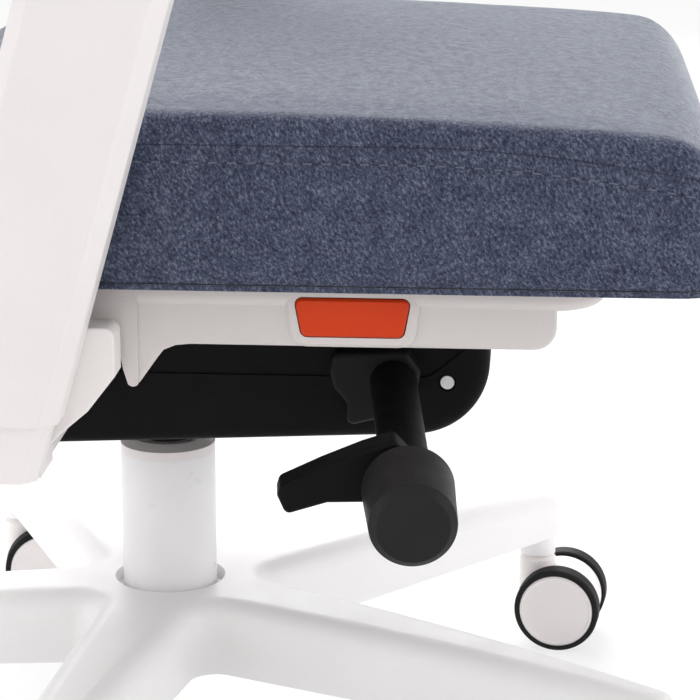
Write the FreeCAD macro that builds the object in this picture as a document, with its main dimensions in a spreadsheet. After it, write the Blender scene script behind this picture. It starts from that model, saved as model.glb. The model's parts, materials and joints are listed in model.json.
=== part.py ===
"""Kids desk chair: star base on casters, gas lift, tilt mechanism, sliding seat, arm rests and back.

Millimetres. +Z is up, the origin is on the floor under the column, the sitter looks along -Y and the
sitter's right side is -X.
"""
import FreeCAD, Part
import math
import os
import re
import Sketcher
from FreeCAD import Placement, Rotation, Vector

# Driving sizes: name, value and meaning
SIZES = [
    # General clearances
    ("push_gap", 0.05, "radial gap of a push fit"),
    ("run_gap", 0.08, "radial gap of a running fit"),
    ("slide_gap", 0.3, "gap between sliding or soft faces"),
    # Star base
    ("caster_circle", 282, "radius of the circle through the caster stems"),
    ("base_turn", 45.7, "angle of the first arm from straight ahead"),
    ("boss_low", 61, "underside of the caster bosses"),
    ("boss_radius", 10.8, "radius of a caster boss"),
    ("boss_gap", 0.8, "gap between a boss's skirt and the hood under it"),
    ("arm_low", 67, "underside of the base arms"),
    ("arm_tip_top", 96, "top of an arm above its caster"),
    ("hub_top", 106, "top of the hub"),
    ("hub_radius", 44, "radius of the hub's flat top"),
    ("hub_wall", 12, "wall of the hub round the column"),
    ("arm_root_half", 28, "half width of an arm, taken at the column axis"),
    ("arm_tip_half", 13.5, "half width of an arm at its caster"),
    ("crotch_round", 14, "radius in plan between two arms"),
    ("arm_edge_round", 12, "rounding of the arms' upper edges"),
    ("base_wall", 4, "wall of the moulded base"),
    ("rib_half", 1.5, "half thickness of the rib under an arm"),
    ("recess_width", 4.5, "width of the recess round the column"),
    ("recess_depth", 5, "depth of the recess round the column"),
    # Gas lift
    ("tube_radius", 25, "outside radius of the column tube"),
    ("tube_wall", 2, "wall of the column tube"),
    ("tube_low", 63, "lower end of the column tube"),
    ("tube_top", 176, "upper end of the column tube"),
    ("tube_floor", 4, "thickness of the tube's bottom plate"),
    ("bush_length", 60, "length of the guide bush inside the tube"),
    ("bush_cap", 8, "height of the bush's cap above the tube"),
    ("rod_radius", 5, "radius of the piston rod"),
    ("bearing_height", 5, "height of the thrust bearing"),
    ("bearing_radius", 16, "outside radius of the thrust bearing"),
    ("cylinder_radius", 14, "outside radius of the gas cylinder"),
    ("cylinder_wall", 2.5, "wall of the gas cylinder"),
    ("cylinder_low", 74, "lower end of the gas cylinder"),
    ("cylinder_top", 252, "upper end of the gas cylinder"),
    ("piston_low", 226, "lower face of the piston"),
    ("piston_height", 10, "height of the piston"),
    ("valve_radius", 4, "radius of the valve button"),
    ("valve_rise", 6.7, "height of the valve button above the cylinder"),
    # Casters
    ("wheel_radius", 25.5, "outside radius of a caster wheel"),
    ("wheel_width", 13, "width of one caster wheel"),
    ("tyre_depth", 3.4, "depth of the tyre band"),
    ("hood_width", 22, "width of the hood between the wheels"),
    ("hood_top", 54, "top of the hood"),
    ("wheel_play", 0.8, "gap between the hood and a wheel"),
    ("stem_radius", 5.5, "radius of a caster stem"),
    ("stem_depth", 14, "depth of the stem in its hood"),
    ("stem_collar", 8.5, "radius of the stem's collar"),
    ("caster_offset", 15, "distance of the wheel axle behind the stem"),
    ("axle_radius", 3, "radius of a caster axle"),
    # Mechanism
    ("case_half", 67, "half width of the lower casing"),
    ("case_wall", 4, "wall of the casing"),
    ("case_front", 171, "distance of the casing's front from the column"),
    ("case_rear", 72, "distance of the casing's rear from the column"),
    ("case_low_front", 207, "underside of the casing at its front"),
    ("case_low_rear", 196, "underside of the casing at its rear"),
    ("case_top", 272, "top of the casing"),
    ("case_part", 235.5, "height of the parting line"),
    ("case_ledge", 1.2, "ledge between the lower and upper casing"),
    ("ring_radius", 9, "outside radius of the moulded ring on the upper casing"),
    ("ring_rise", 0.6, "height of the moulded ring"),
    ("case_nose_round", 38, "rounding under the casing's front"),
    ("case_tail_round", 24, "rounding under the casing's rear"),
    ("case_edge_round", 6, "rounding of the casing's long lower edges"),
    ("plate_half", 115, "half width of the steel plate"),
    ("plate_thick", 4, "thickness of the steel plate"),
    ("socket_radius", 21, "outside radius of the column socket"),
    ("socket_low", 213, "lower end of the column socket"),
    ("pin_radius", 5, "radius of the tilt pin"),
    ("pin_y", 38, "place of the tilt pin behind the column"),
    ("pin_z", 242, "height of the tilt pin"),
    ("pin_half", 56, "half length of the tilt pin"),
    ("ear_inner", 50, "inner face of the plate's ears"),
    ("cheek_inner", 26, "inner face of the back fork's cheeks"),
    ("cheek_outer", 46, "outer face of the back fork's cheeks"),
    ("spring_x", 36, "distance of a tilt spring from the middle"),
    ("spring_y", 14, "distance of the tilt springs behind the column"),
    ("spring_radius", 7, "coil radius of a tilt spring"),
    ("spring_wire", 1.2, "wire radius of a tilt spring"),
    ("rocker_y", 45, "distance of the rocker's pivot from the column"),
    ("rocker_z", 260.5, "height of the rocker's pivot"),
    ("rocker_pin", 3, "radius of the rocker's trunnion"),
    ("rocker_half", 12, "half width of the rocker"),
    ("rocker_thick", 3, "thickness of the rocker"),
    # Height lever and tension knob
    ("lever_x", 65, "distance of the lever's root from the middle"),
    ("lever_y", 122.4, "distance of the lever's root in front of the column"),
    ("lever_z", 237.9, "height of the lever's root"),
    ("lever_droop", 6.3, "fall of the lever towards its knob"),
    ("lever_sweep", 6.2, "sweep of the lever towards the front"),
    ("lever_radius", 11.5, "radius of the lever's shaft"),
    ("lever_length", 141, "length of the lever outside its root"),
    ("lever_inner", 62, "length of the lever inside the casing"),
    ("tension_radius", 4, "radius of the tension rod"),
    ("knob_radius", 21, "radius of the knob at its back"),
    ("knob_face", 19.5, "radius of the knob near its face"),
    ("knob_length", 45, "length of the knob"),
    ("knob_chamfer", 3.5, "chamfer round the knob's face"),
    ("blade_thick", 14, "thickness of the lever's paddle"),
    ("finger_height", 14.3, "height of the lever's lifting finger above its axis"),
    # Seat
    ("pan_half", 200, "half width of the seat pan"),
    ("pan_top", 312, "top of the seat pan"),
    ("pan_plate", 10.4, "thickness of the seat pan's plate"),
    ("pan_low", 284.2, "underside of the seat pan's side rails"),
    ("pan_front", 224.5, "distance of the pan's front from the column"),
    ("pan_rear", 95, "distance of the pan's rear from the column"),
    ("pan_rail", 30, "thickness of the pan's side rails"),
    ("pan_recess", 2.5, "step of the pan's side rails behind their fin"),
    ("pan_corner", 26, "corner radius of the pan in plan"),
    ("notch_top", 291.5, "top of the notch over the arm bracket"),
    ("fin_tip", 264.9, "lower end of the pan's fin"),
    ("button_middle", 112.4, "distance of the press button's middle in front of the column"),
    ("button_low", 289.7, "lower edge of the press button"),
    ("button_high", 307, "upper edge of the press button"),
    ("button_top_half", 25.8, "half length of the press button's upper edge"),
    ("button_low_half", 22.4, "half length of the press button's lower edge"),
    ("button_depth", 14, "depth of the press button"),
    ("button_proud", 1.2, "how far the press button stands out of the bezel"),
    ("button_gap", 0.5, "gap round the press button"),
    ("button_round", 3, "corner radius of the press button"),
    ("button_travel", 4, "travel of the press button"),
    ("bezel_width", 5, "width of the bezel round the press button"),
    ("latch_radius", 2, "radius of the latch rod"),
    ("latch_z", 292.4, "height of the latch rod"),
    ("latch_wire", 0.35, "wire radius of the press button's spring"),
    ("slide_travel", 50, "travel of the seat's depth slide"),
    ("rail_x", 100, "distance of a slide rail from the middle"),
    ("rail_half", 12, "half width of a slide rail"),
    ("rail_height", 22, "height of a slide rail"),
    ("rail_wall", 2, "wall of a slide rail"),
    ("runner_wall", 3, "wall of a runner"),
    ("runner_front", 150, "distance of a runner's front from the column"),
    ("cushion_half", 215, "half width of the seat cushion"),
    ("cushion_rear", 105, "distance of the cushion's rear from the column"),
    ("cushion_front", 278, "distance of the cushion's front from the column"),
    ("cushion_edge", 391, "height of the cushion's upper edge"),
    ("cushion_crown", 3, "rise of the cushion's middle above its edge"),
    ("cushion_draw", 3, "how far the cushion's hem is drawn in"),
    ("cushion_round", 8, "rounding of the cushion's upper edge"),
    ("cushion_corner", 24, "corner radius of the cushion in plan"),
    ("cushion_tail", 12, "rounding of the cushion's upper rear edge"),
    ("cushion_nose", 30, "length over which the cushion's front rounds down"),
    ("cushion_nose_fall", 34, "fall of the cushion's upper edge over that length"),
    ("cushion_dip", 11.5, "gentle fall of the cushion's upper edge towards its front"),
    ("cushion_dip_start", 30, "where that fall starts in front of the column"),
    ("crown_reach", 95, "distance from the ends over which the crown grows"),
    # Arm rests
    ("post_x", 234.5, "distance of an arm post's middle from the middle"),
    ("post_half", 10, "half thickness of an arm post"),
    ("post_low", 232, "lower end of an arm post"),
    ("post_top", 500, "upper end of an arm post"),
    ("post_depth", 60, "depth of an arm post, front to rear"),
    ("sleeve_wall", 2.7, "wall of an arm sleeve"),
    ("sleeve_low", 258.4, "lower end of an arm sleeve"),
    ("sleeve_top", 565, "upper end of an arm sleeve"),
    ("sleeve_front", 12.6, "place of the sleeve's front edge at its lower end"),
    ("sleeve_bevel", 7, "bevel along the sleeve's outer edges"),
    ("arm_lean", 15.8, "forward lean of the arm posts"),
    ("pad_half", 36, "half width of an arm pad"),
    ("pad_front", 150, "distance of the pad's front from the column"),
    ("pad_rear", 62, "distance of the pad's rear from the column"),
    ("pad_height", 21, "height of an arm pad"),
    ("beam_low", 226, "underside of the arm bracket's beam"),
    ("beam_top", 278.5, "top of the arm bracket's beam"),
    ("beam_front", 28, "front face of the arm bracket's beam"),
    ("beam_rear", 60, "rear face of the arm bracket's beam"),
    ("cheek_front", 9.5, "distance of the arm bracket's cheek in front of the column"),
    ("cheek_top", 296.8, "top of the arm bracket's cheek"),
    ("flange_thick", 7, "thickness of the arm bracket's flange"),
    ("bolt_radius", 3, "radius of a bracket bolt"),
    # Back
    ("upright_half", 27, "half width of the back upright"),
    ("upright_thick", 18, "thickness of the back upright"),
    ("upright_low", 232, "underside of the back upright"),
    ("upright_rear", 152, "rear face of the back upright above its bend"),
    ("upright_top", 600, "top of the back upright"),
    ("back_lean", 8, "backward lean of the back"),
    ("back_low", 438, "lower edge of the back shell"),
    ("back_height", 400, "height of the back shell"),
    ("back_half", 205, "half width of the back shell"),
    ("back_corner", 75, "corner radius of the back shell"),
    ("back_bow", 620, "radius of the back's bow in plan"),
    ("back_wall", 6, "thickness of the back shell"),
    ("back_pad", 34, "thickness of the back cushion"),
    ("back_inset", 8, "how far the back cushion lies inside the shell's edge"),
]

ARM_COUNT = 5
CASTER_HEADINGS = (-8, 8, 24, -15, 5)
CASTER_NAMES = ("hood", "axle", "wheels", "tyres")
BACK_BOLT_HEIGHTS = ("30", "80", "130")
SEAT_SCREW_PLACES = [(x, y) for x in ("-rail_x", "rail_x") for y in ("-120", "40")]
BOLT_PLACES = (("beam_front + 9", "256"), ("beam_rear - 6", "256"))
SCREW_PLACES = (("-case_front + 21", "case_part - 2.2"), ("pin_y - 4", "case_part - 12"))

doc = FreeCAD.newDocument("kids_desk_chair")
sheet = doc.addObject("Spreadsheet::Sheet", "Sizes")
for row, (size_name, value, meaning) in enumerate(SIZES, 1):
    sheet.set(f"A{row}", size_name)
    sheet.set(f"B{row}", str(value))
    sheet.set(f"C{row}", meaning)
    sheet.setAlias(f"B{row}", size_name)
doc.recompute()

SIZE_NAMES = re.compile(r"\b(" + "|".join(entry[0] for entry in SIZES) + r")\b")
AXIS_TURNS = {
    "x": Rotation(Vector(0, 1, 0), 90),
    "y": Rotation(Vector(1, 0, 0), -90),
    "z": Rotation(),
}
sub_parts = []


# Helpers
def sized(text):
    """An expression in which every size is read from the sheet."""
    return SIZE_NAMES.sub(r"Sizes.\1", str(text))


def number(text):
    """The present value of an expression."""
    result = sheet.evalExpression(sized(text))
    return float(getattr(result, "Value", result))


def bind(item, name, text):
    item.setExpression(name, sized(text))


def keep(item, label):
    """Name an object as one of the chair's sub-parts."""
    item.Label = label
    sub_parts.append(item)
    return item


def block(low, high, name="Block"):
    """A box between two corners."""
    box = doc.addObject("Part::Box", name)
    for side, axis, start, end in zip(("Length", "Width", "Height"), "xyz", low, high):
        bind(box, side, f"({end}) - ({start})")
        bind(box, f"Placement.Base.{axis}", start)
    return box


def bar(radius, start, length, along="z", name="Bar"):
    """A round bar from a point along one axis."""
    rod = doc.addObject("Part::Cylinder", name)
    bind(rod, "Radius", radius)
    bind(rod, "Height", length)
    rod.Placement = Placement(Vector(), AXIS_TURNS[along])
    for axis, place in zip("xyz", start):
        bind(rod, f"Placement.Base.{axis}", place)
    return rod


def fuse(*items):
    joined = doc.addObject("Part::MultiFuse", "Joined")
    joined.Shapes = list(items)
    return joined


def cut(base, *tools):
    result = doc.addObject("Part::Cut", "CutPart")
    result.Base = base
    result.Tool = tools[0] if len(tools) == 1 else fuse(*tools)
    return result


def common(first, second):
    result = doc.addObject("Part::Common", "Shared")
    result.Base = first
    result.Tool = second
    return result


def group(*items):
    """Separate solids kept together as one sub-part."""
    together = doc.addObject("Part::Compound", "Group")
    together.Links = list(items)
    return together


def mirrored(item):
    """The same piece on the sitter's left side."""
    twin = doc.addObject("Part::Mirroring", "Mirrored")
    twin.Source = item
    twin.Normal = Vector(1, 0, 0)
    return twin


def outline(body, role, points, offset):
    """A closed straight-sided sketch whose corners are bound to the sheet."""
    sketch = body.newObject("Sketcher::SketchObject", "Outline")
    plane = next(item for item in body.Origin.OriginFeatures if item.Role == role)
    sketch.AttachmentSupport = [(plane, "")]
    sketch.MapMode = "FlatFace"
    bind(sketch, "AttachmentOffset.Base.z", offset)
    corners = [Vector(number(across), number(up), 0) for across, up in points]
    count = len(corners)
    for index, corner in enumerate(corners):
        sketch.addGeometry(Part.LineSegment(corner, corners[(index + 1) % count]), False)
    for index in range(count):
        sketch.addConstraint(Sketcher.Constraint("Coincident", index, 2, (index + 1) % count, 1))
    for index, pair in enumerate(points):
        for kind, text in zip(("DistanceX", "DistanceY"), pair):
            place = sketch.addConstraint(Sketcher.Constraint(kind, -1, 1, index, 1, number(text)))
            bind(sketch, f"Constraints[{place}]", text)
    return sketch


def padded(role, points, start, end, name="Padded"):
    """A body padded from an outline; the outline lies on an origin plane moved to start."""
    body = doc.addObject("PartDesign::Body", name)
    sketch = outline(body, role, points, start)
    pad = body.newObject("PartDesign::Pad", "Pad")
    pad.Profile = sketch
    bind(pad, "Length", f"({end}) - ({start})")
    doc.recompute()
    return body


def turned(points, name="Turned"):
    """A body turned about the Z axis from an outline of radius and height."""
    body = doc.addObject("PartDesign::Body", name)
    sketch = outline(body, "XZ_Plane", points, "0")
    turn = body.newObject("PartDesign::Revolution", "Turn")
    turn.Profile = sketch
    turn.ReferenceAxis = (sketch, ["V_Axis"])
    turn.Angle = 360
    doc.recompute()
    return body


def dress(body, kind, size_property, size, chosen):
    """Fillet or chamfer the chosen edges of a body."""
    base = body.Tip
    names = [f"Edge{index}" for index, edge in enumerate(base.Shape.Edges, 1) if chosen(edge)]
    feature = body.newObject(kind, "Dressed")
    feature.Base = (base, names)
    bind(feature, size_property, size)
    doc.recompute()
    return body


def round_edges(body, radius, chosen):
    return dress(body, "PartDesign::Fillet", "Radius", radius, chosen)


def bevel_edges(body, size, chosen):
    return dress(body, "PartDesign::Chamfer", "Size", size, chosen)


def runs_along(edge, direction):
    """True for a straight edge along a direction."""
    if edge.Curve.TypeId != "Part::GeomLine":
        return False
    return edge.tangentAt(edge.FirstParameter).cross(direction).Length < 1e-6


def lies_at(edge, axis, text, near=0.01):
    """True where the whole edge lies on one plane square to an axis."""
    level = number(text)
    points = edge.discretize(5)
    return all(abs(getattr(point, axis) - level) < near for point in points)


def middle(edge):
    return edge.valueAt((edge.FirstParameter + edge.LastParameter) / 2)


def across(edge):
    return runs_along(edge, Vector(1, 0, 0))


def upright(edge):
    return runs_along(edge, Vector(0, 0, 1))


def plain_shape(shape, name):
    """A sub-part whose form comes straight from curves worked out below."""
    item = doc.addObject("Part::Feature", name)
    item.Shape = shape
    return item


# Star base
def star_plan(root_half, tip_half, reach, crotch, low, high):
    """A five-armed prism: tapered arms with round tips and round crotches."""
    slope = math.acos(tip_half / math.hypot(root_half, reach)) - math.atan2(reach, root_half)
    offset = root_half * math.cos(slope)
    half_step = math.pi / ARM_COUNT
    crotch_reach = (offset + crotch) / math.sin(half_step + slope)
    edges = []

    def point(arm, along, side):
        turn = 2 * half_step * arm
        return Vector(
            along * math.cos(turn) - side * math.sin(turn),
            along * math.sin(turn) + side * math.cos(turn),
            low,
        )

    tip = (reach + tip_half * math.sin(slope), tip_half * math.cos(slope))
    pit = (
        crotch_reach * math.cos(half_step) - crotch * math.sin(slope),
        crotch_reach * math.sin(half_step) - crotch * math.cos(slope),
    )
    deep = crotch_reach - crotch
    deepest = (deep * math.cos(half_step), deep * math.sin(half_step))
    for arm in range(ARM_COUNT):
        near_side = point(arm, tip[0], -tip[1])
        far_side = point(arm, tip[0], tip[1])
        pit_start = point(arm, pit[0], pit[1])
        pit_end = point(arm + 1, pit[0], -pit[1])
        edges.append(Part.makeLine(point(arm, pit[0], -pit[1]), near_side))
        edges.append(Part.Arc(near_side, point(arm, reach + tip_half, 0), far_side).toShape())
        edges.append(Part.makeLine(far_side, pit_start))
        edges.append(Part.Arc(pit_start, point(arm, *deepest), pit_end).toShape())
    return Part.Face(Part.Wire(edges)).extrude(Vector(0, 0, high - low))


def roof(drop):
    """The space under the base's upper surface, lowered by drop."""
    reach = number("caster_circle")
    far = number("caster_circle + arm_tip_half * 2")
    hub = number("hub_radius")
    top = number("hub_top") - drop
    fall = number("hub_top - arm_tip_top") / (reach - hub) ** 2

    def place(distance):
        return Vector(distance, 0, top - fall * max(0, distance - hub) ** 2)

    arch = Part.Arc(place(far), place((far + hub) / 2), place(hub)).toShape()
    flat = Part.makeLine(place(hub), place(0))
    rest = Part.makePolygon([place(0), Vector(0, 0, 0), Vector(far, 0, 0), place(far)])
    outline = Part.Wire([arch, flat, *rest.Edges])
    return Part.Face(outline).revolve(Vector(), Vector(0, 0, 1), 360)


def arm_edges(star):
    """The upper edges of a star's arms, without the rim of its flat middle."""
    level = number("arm_low + base_wall")
    rim = number("hub_radius") + 1
    upper = [edge for edge in star.Edges if middle(edge).z > level and not upright(edge)]
    return [edge for edge in upper if math.hypot(middle(edge).x, middle(edge).y) > rim]


def star_base():
    low = number("arm_low")
    reach = number("caster_circle")
    wall = number("base_wall")
    hub_outside = number("tube_radius + hub_wall")
    boss_radius = number("boss_radius")
    tall = number("hub_top") + 1
    solid = star_plan(
        number("arm_root_half"), number("arm_tip_half"), reach, number("crotch_round"), low, tall
    ).common(roof(0))
    solid = solid.makeFillet(number("arm_edge_round"), arm_edges(solid))
    hollow = star_plan(
        number("arm_root_half") - wall,
        number("arm_tip_half") - wall,
        reach - 2 * boss_radius,
        number("crotch_round") + wall,
        low - 1,
        tall,
    ).common(roof(wall))
    hollow = hollow.makeFillet(number("arm_edge_round") - wall, arm_edges(hollow))
    hollow = hollow.cut(Part.makeCylinder(hub_outside, tall))
    stem_hole = number("stem_radius + push_gap")
    collar_room = number("stem_collar + push_gap")
    for arm in range(ARM_COUNT):
        turn = 360 / ARM_COUNT * arm
        rib = Part.makeBox(reach, number("2 * rib_half"), tall, Vector(0, -number("rib_half"), 0))
        rib.rotate(Vector(), Vector(0, 0, 1), turn)
        hollow = hollow.cut(rib)
    solid = solid.cut(hollow)
    for arm in range(ARM_COUNT):
        turn = math.radians(360 / ARM_COUNT * arm)
        place = Vector(reach * math.cos(turn), reach * math.sin(turn), number("boss_low"))
        foot = Vector(place.x, place.y, number("hood_top + boss_gap"))
        boss = Part.makeCylinder(boss_radius, low + wall - foot.z, foot)
        solid = solid.fuse(boss.cut(Part.makeCylinder(collar_room, place.z - foot.z, foot)))
        solid = solid.cut(Part.makeCylinder(stem_hole, number("arm_tip_top - 5") - place.z, place))
    hub_low = number("tube_low")
    solid = solid.fuse(Part.makeCylinder(hub_outside, low + wall - hub_low, Vector(0, 0, hub_low)))
    bore = Part.makeCylinder(number("tube_radius + push_gap"), tall)
    recess_radius = number("tube_radius + recess_width")
    recess_floor = number("hub_top - recess_depth")
    recess = Part.makeCone(
        number("tube_radius + recess_width / 2"),
        recess_radius,
        number("recess_depth"),
        Vector(0, 0, recess_floor),
    )
    base = plain_shape(solid.cut(bore).cut(recess).removeSplitter(), "StarBase")
    base.Placement = Placement(Vector(), Rotation(Vector(0, 0, 1), number("base_turn - 90")))
    return base


def caster_place(index):
    """Expressions for a caster stem's place on the floor plan."""
    turn = f"(base_turn + {360 / ARM_COUNT * index})"
    return f"caster_circle * sin{turn}", f"-caster_circle * cos{turn}"


def caster_stems():
    """Five stems: a journal for the hood, a collar and a plain part pressed into the base."""
    stem = turned(
        [
            ("0", "hood_top - stem_depth"),
            ("stem_radius", "hood_top - stem_depth"),
            ("stem_radius", "boss_low - 5"),
            ("stem_collar", "boss_low - 5"),
            ("stem_collar", "boss_low - push_gap"),
            ("stem_radius", "boss_low - push_gap"),
            ("stem_radius", "arm_tip_top - 6"),
            ("0", "arm_tip_top - 6"),
        ],
        "Stem",
    )
    stems = []
    for index in range(ARM_COUNT):
        copy = group(stem)
        for axis, place in zip("xy", caster_place(index)):
            bind(copy, f"Placement.Base.{axis}", place)
        stems.append(copy)
    return group(*stems)


def caster_pieces():
    """One caster with its stem on the Z axis and its axle along Y, trailing towards +X."""
    half = "hood_width / 2"
    guard = bar("wheel_radius - 2", ("caster_offset", f"-{half}", "wheel_radius"), "hood_width", "y")
    below = block(
        ("-wheel_radius * 2", f"-{half} - 1", "-1"),
        ("caster_offset + wheel_radius * 2", f"{half} + 1", "wheel_radius - 7"),
    )
    neck = turned(
        [
            ("0", "wheel_radius - 4"),
            (half, "wheel_radius - 4"),
            (half, "hood_top - 2"),
            (f"{half} - 2", "hood_top"),
            ("0", "hood_top"),
        ],
        "Neck",
    )
    stem_end = "hood_top - stem_depth - slide_gap"
    stem_hole = bar("stem_radius + run_gap", ("0", "0", stem_end), "stem_depth * 2")
    axle_start = ("caster_offset", "-hood_width", "wheel_radius")
    axle_hole = bar("axle_radius + push_gap", axle_start, "hood_width * 2", "y")
    hood = cut(fuse(cut(guard, below), neck), stem_hole, axle_hole)
    reach = f"{half} + wheel_play + wheel_width - 4"
    axle = bar("axle_radius", ("caster_offset", f"-({reach})", "wheel_radius"), f"2 * ({reach})", "y")
    seat = "wheel_radius - tyre_depth"
    disc = turned(
        [
            ("axle_radius + run_gap", "0"),
            (seat, "0"),
            (seat, "wheel_width - 0.8"),
            (f"{seat} - 1.2", "wheel_width"),
            (f"{seat} - 2.6", "wheel_width - 0.5"),
            ("0", "wheel_width - 0.2"),
            ("0", "wheel_width - 3.5"),
            ("axle_radius + run_gap", "wheel_width - 3.5"),
        ],
        "WheelDisc",
    )
    band = turned(
        [
            (f"{seat} + push_gap", "0.6"),
            ("wheel_radius - 0.8", "0.6"),
            ("wheel_radius", "1.6"),
            ("wheel_radius", "wheel_width - 2.2"),
            ("wheel_radius - 0.5", "wheel_width - 1"),
            ("wheel_radius - 1.8", "wheel_width - 0.4"),
            (f"{seat} + push_gap", "wheel_width - 0.4"),
        ],
        "TyreBand",
    )
    pairs = []
    for piece in (disc, band):
        sides = []
        for side in (-1, 1):
            copy = group(piece)
            copy.Placement = Placement(Vector(), Rotation(Vector(1, 0, 0), -90 * side))
            bind(copy, "Placement.Base.x", "caster_offset")
            bind(copy, "Placement.Base.y", f"{side} * ({half} + wheel_play)")
            bind(copy, "Placement.Base.z", "wheel_radius")
            sides.append(copy)
        pairs.append(group(*sides))
    return hood, axle, pairs[0], pairs[1]


def casters():
    pieces = caster_pieces()
    for index, heading in enumerate(CASTER_HEADINGS):
        for name, piece in zip(CASTER_NAMES, pieces):
            copy = group(piece)
            copy.Placement = Placement(Vector(), Rotation(Vector(0, 0, 1), heading - 90))
            for axis, place in zip("xy", caster_place(index)):
                bind(copy, f"Placement.Base.{axis}", place)
            keep(copy, f"caster_{index + 1}_{name}")


# Gas lift
def gas_lift():
    tube_bore = "tube_radius - tube_wall"
    keep(
        turned(
            [
                ("rod_radius + 2", "tube_low"),
                ("tube_radius", "tube_low"),
                ("tube_radius", "tube_top"),
                (tube_bore, "tube_top"),
                (tube_bore, "tube_low + tube_floor"),
                ("rod_radius + 2", "tube_low + tube_floor"),
            ],
            "Tube",
        ),
        "column_tube",
    )
    guide = "cylinder_radius + run_gap"
    keep(
        turned(
            [
                (guide, "tube_top - bush_length"),
                (f"{tube_bore} - push_gap", "tube_top - bush_length"),
                (f"{tube_bore} - push_gap", "tube_top"),
                ("tube_radius", "tube_top"),
                ("tube_radius", "tube_top + bush_cap - 3"),
                ("tube_radius - 6", "tube_top + bush_cap"),
                (guide, "tube_top + bush_cap"),
            ],
            "Bush",
        ),
        "column_bush",
    )
    bearing_low = "tube_low + tube_floor + push_gap"
    bearing_top = f"{bearing_low} + bearing_height"
    keep(
        turned(
            [
                ("rod_radius + push_gap", bearing_low),
                ("bearing_radius", bearing_low),
                ("bearing_radius", bearing_top),
                ("rod_radius + push_gap", bearing_top),
            ],
            "Bearing",
        ),
        "thrust_bearing",
    )
    bore = "cylinder_radius - cylinder_wall"
    keep(
        turned(
            [
                ("0", "tube_low - 4"),
                ("rod_radius + 3", "tube_low - 4"),
                ("rod_radius + 3", "tube_low - push_gap"),
                ("rod_radius", "tube_low - push_gap"),
                ("rod_radius", bearing_top),
                ("bearing_radius - 4", bearing_top),
                ("bearing_radius - 4", "cylinder_low - slide_gap"),
                ("rod_radius", "cylinder_low - slide_gap"),
                ("rod_radius", "piston_low"),
                (f"{bore} - run_gap", "piston_low"),
                (f"{bore} - run_gap", "piston_low + piston_height"),
                ("0", "piston_low + piston_height"),
            ],
            "Rod",
        ),
        "piston_rod",
    )
    end = 6
    valve_floor = "cylinder_top - 11"
    keep(
        turned(
            [
                ("rod_radius + run_gap", "cylinder_low"),
                ("cylinder_radius", "cylinder_low"),
                ("cylinder_radius", "cylinder_top"),
                ("valve_radius + run_gap", "cylinder_top"),
                ("valve_radius + run_gap", valve_floor),
                ("0", valve_floor),
                ("0", f"{valve_floor} - 3"),
                (bore, f"{valve_floor} - 3"),
                (bore, f"cylinder_low + {end}"),
                ("rod_radius + run_gap", f"cylinder_low + {end}"),
            ],
            "Cylinder",
        ),
        "lift_cylinder",
    )
    keep(
        turned(
            [
                ("0", f"{valve_floor} + 4"),
                ("valve_radius", f"{valve_floor} + 4"),
                ("valve_radius", "cylinder_top + valve_rise - 1"),
                ("valve_radius - 1", "cylinder_top + valve_rise"),
                ("0", "cylinder_top + valve_rise"),
            ],
            "Valve",
        ),
        "valve_button",
    )


# Mechanism
def lever_placement():
    """The lever's own frame: its shaft runs along local -X from the root on the casing's side."""
    root = Vector(-number("lever_x"), -number("lever_y"), number("lever_z"))
    return Placement(root, Rotation(number("lever_sweep"), -number("lever_droop"), 0))


def along_lever(radius, start, length):
    """A round bar on the lever's axis, from a local place along +X."""
    rod = doc.addObject("Part::Cylinder", "LeverBar")
    bind(rod, "Radius", radius)
    bind(rod, "Height", length)
    local = Placement(Vector(number(start), 0, 0), AXIS_TURNS["x"])
    rod.Placement = lever_placement().multiply(local)
    return rod


def case_body(inset):
    """The casing's outside, drawn in by inset at its sides and ends."""
    body = padded(
        "YZ_Plane",
        [
            (f"-case_front + {inset}", "case_top"),
            (f"-case_front + {inset}", f"case_low_front + {inset}"),
            (f"case_rear - {inset}", f"case_low_rear + {inset}"),
            (f"case_rear - {inset}", "case_top"),
        ],
        f"-case_half + {inset}",
        f"case_half - {inset}",
        "CaseOutside",
    )
    round_edges(body, "case_nose_round", lambda edge: across(edge) and middle(edge).y < 0
                and middle(edge).z < number("case_part"))
    round_edges(body, "case_tail_round", lambda edge: across(edge) and middle(edge).y > 0
                and middle(edge).z < number("case_part"))
    side = f"case_half - {inset}"
    round_edges(body, "case_edge_round", lambda edge: not across(edge)
                and (lies_at(edge, "x", side) or lies_at(edge, "x", f"-({side})"))
                and not lies_at(edge, "z", "case_top"))
    return body


def case_cavity():
    """The hollow inside the casing, with its lower corners cut off behind the roundings."""
    floor_front = "case_low_front + case_wall"
    floor_rear = "case_low_rear + case_wall"
    return padded(
        "YZ_Plane",
        [
            ("-case_front + case_wall", "case_top + 1"),
            ("-case_front + case_wall", f"{floor_front} + case_nose_round"),
            ("-case_front + case_wall + case_nose_round", floor_front),
            ("case_rear - case_wall - case_tail_round", f"{floor_rear} + 2"),
            ("case_rear - case_wall", f"{floor_rear} + case_tail_round"),
            ("case_rear - case_wall", "case_top + 1"),
        ],
        "-case_half + case_wall + case_ledge",
        "case_half - case_wall - case_ledge",
        "CaseCavity",
    )


def case_lower_region():
    """The side view of the space that the lower casing takes; it rises at the front."""
    region = padded(
        "YZ_Plane",
        [
            ("-case_front - 20", "case_low_rear - 30"),
            ("case_rear + 20", "case_low_rear - 30"),
            ("case_rear + 20", "case_part"),
            ("-case_front + 30", "case_part"),
            ("-case_front + 4", "case_part + 22"),
            ("-case_front - 20", "case_part + 26"),
        ],
        "-case_half - 20",
        "case_half + 20",
        "LowerRegion",
    )
    return round_edges(region, "16", lambda edge: across(edge) and lies_at(edge, "z", "case_part")
                       and middle(edge).y < 0)


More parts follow.
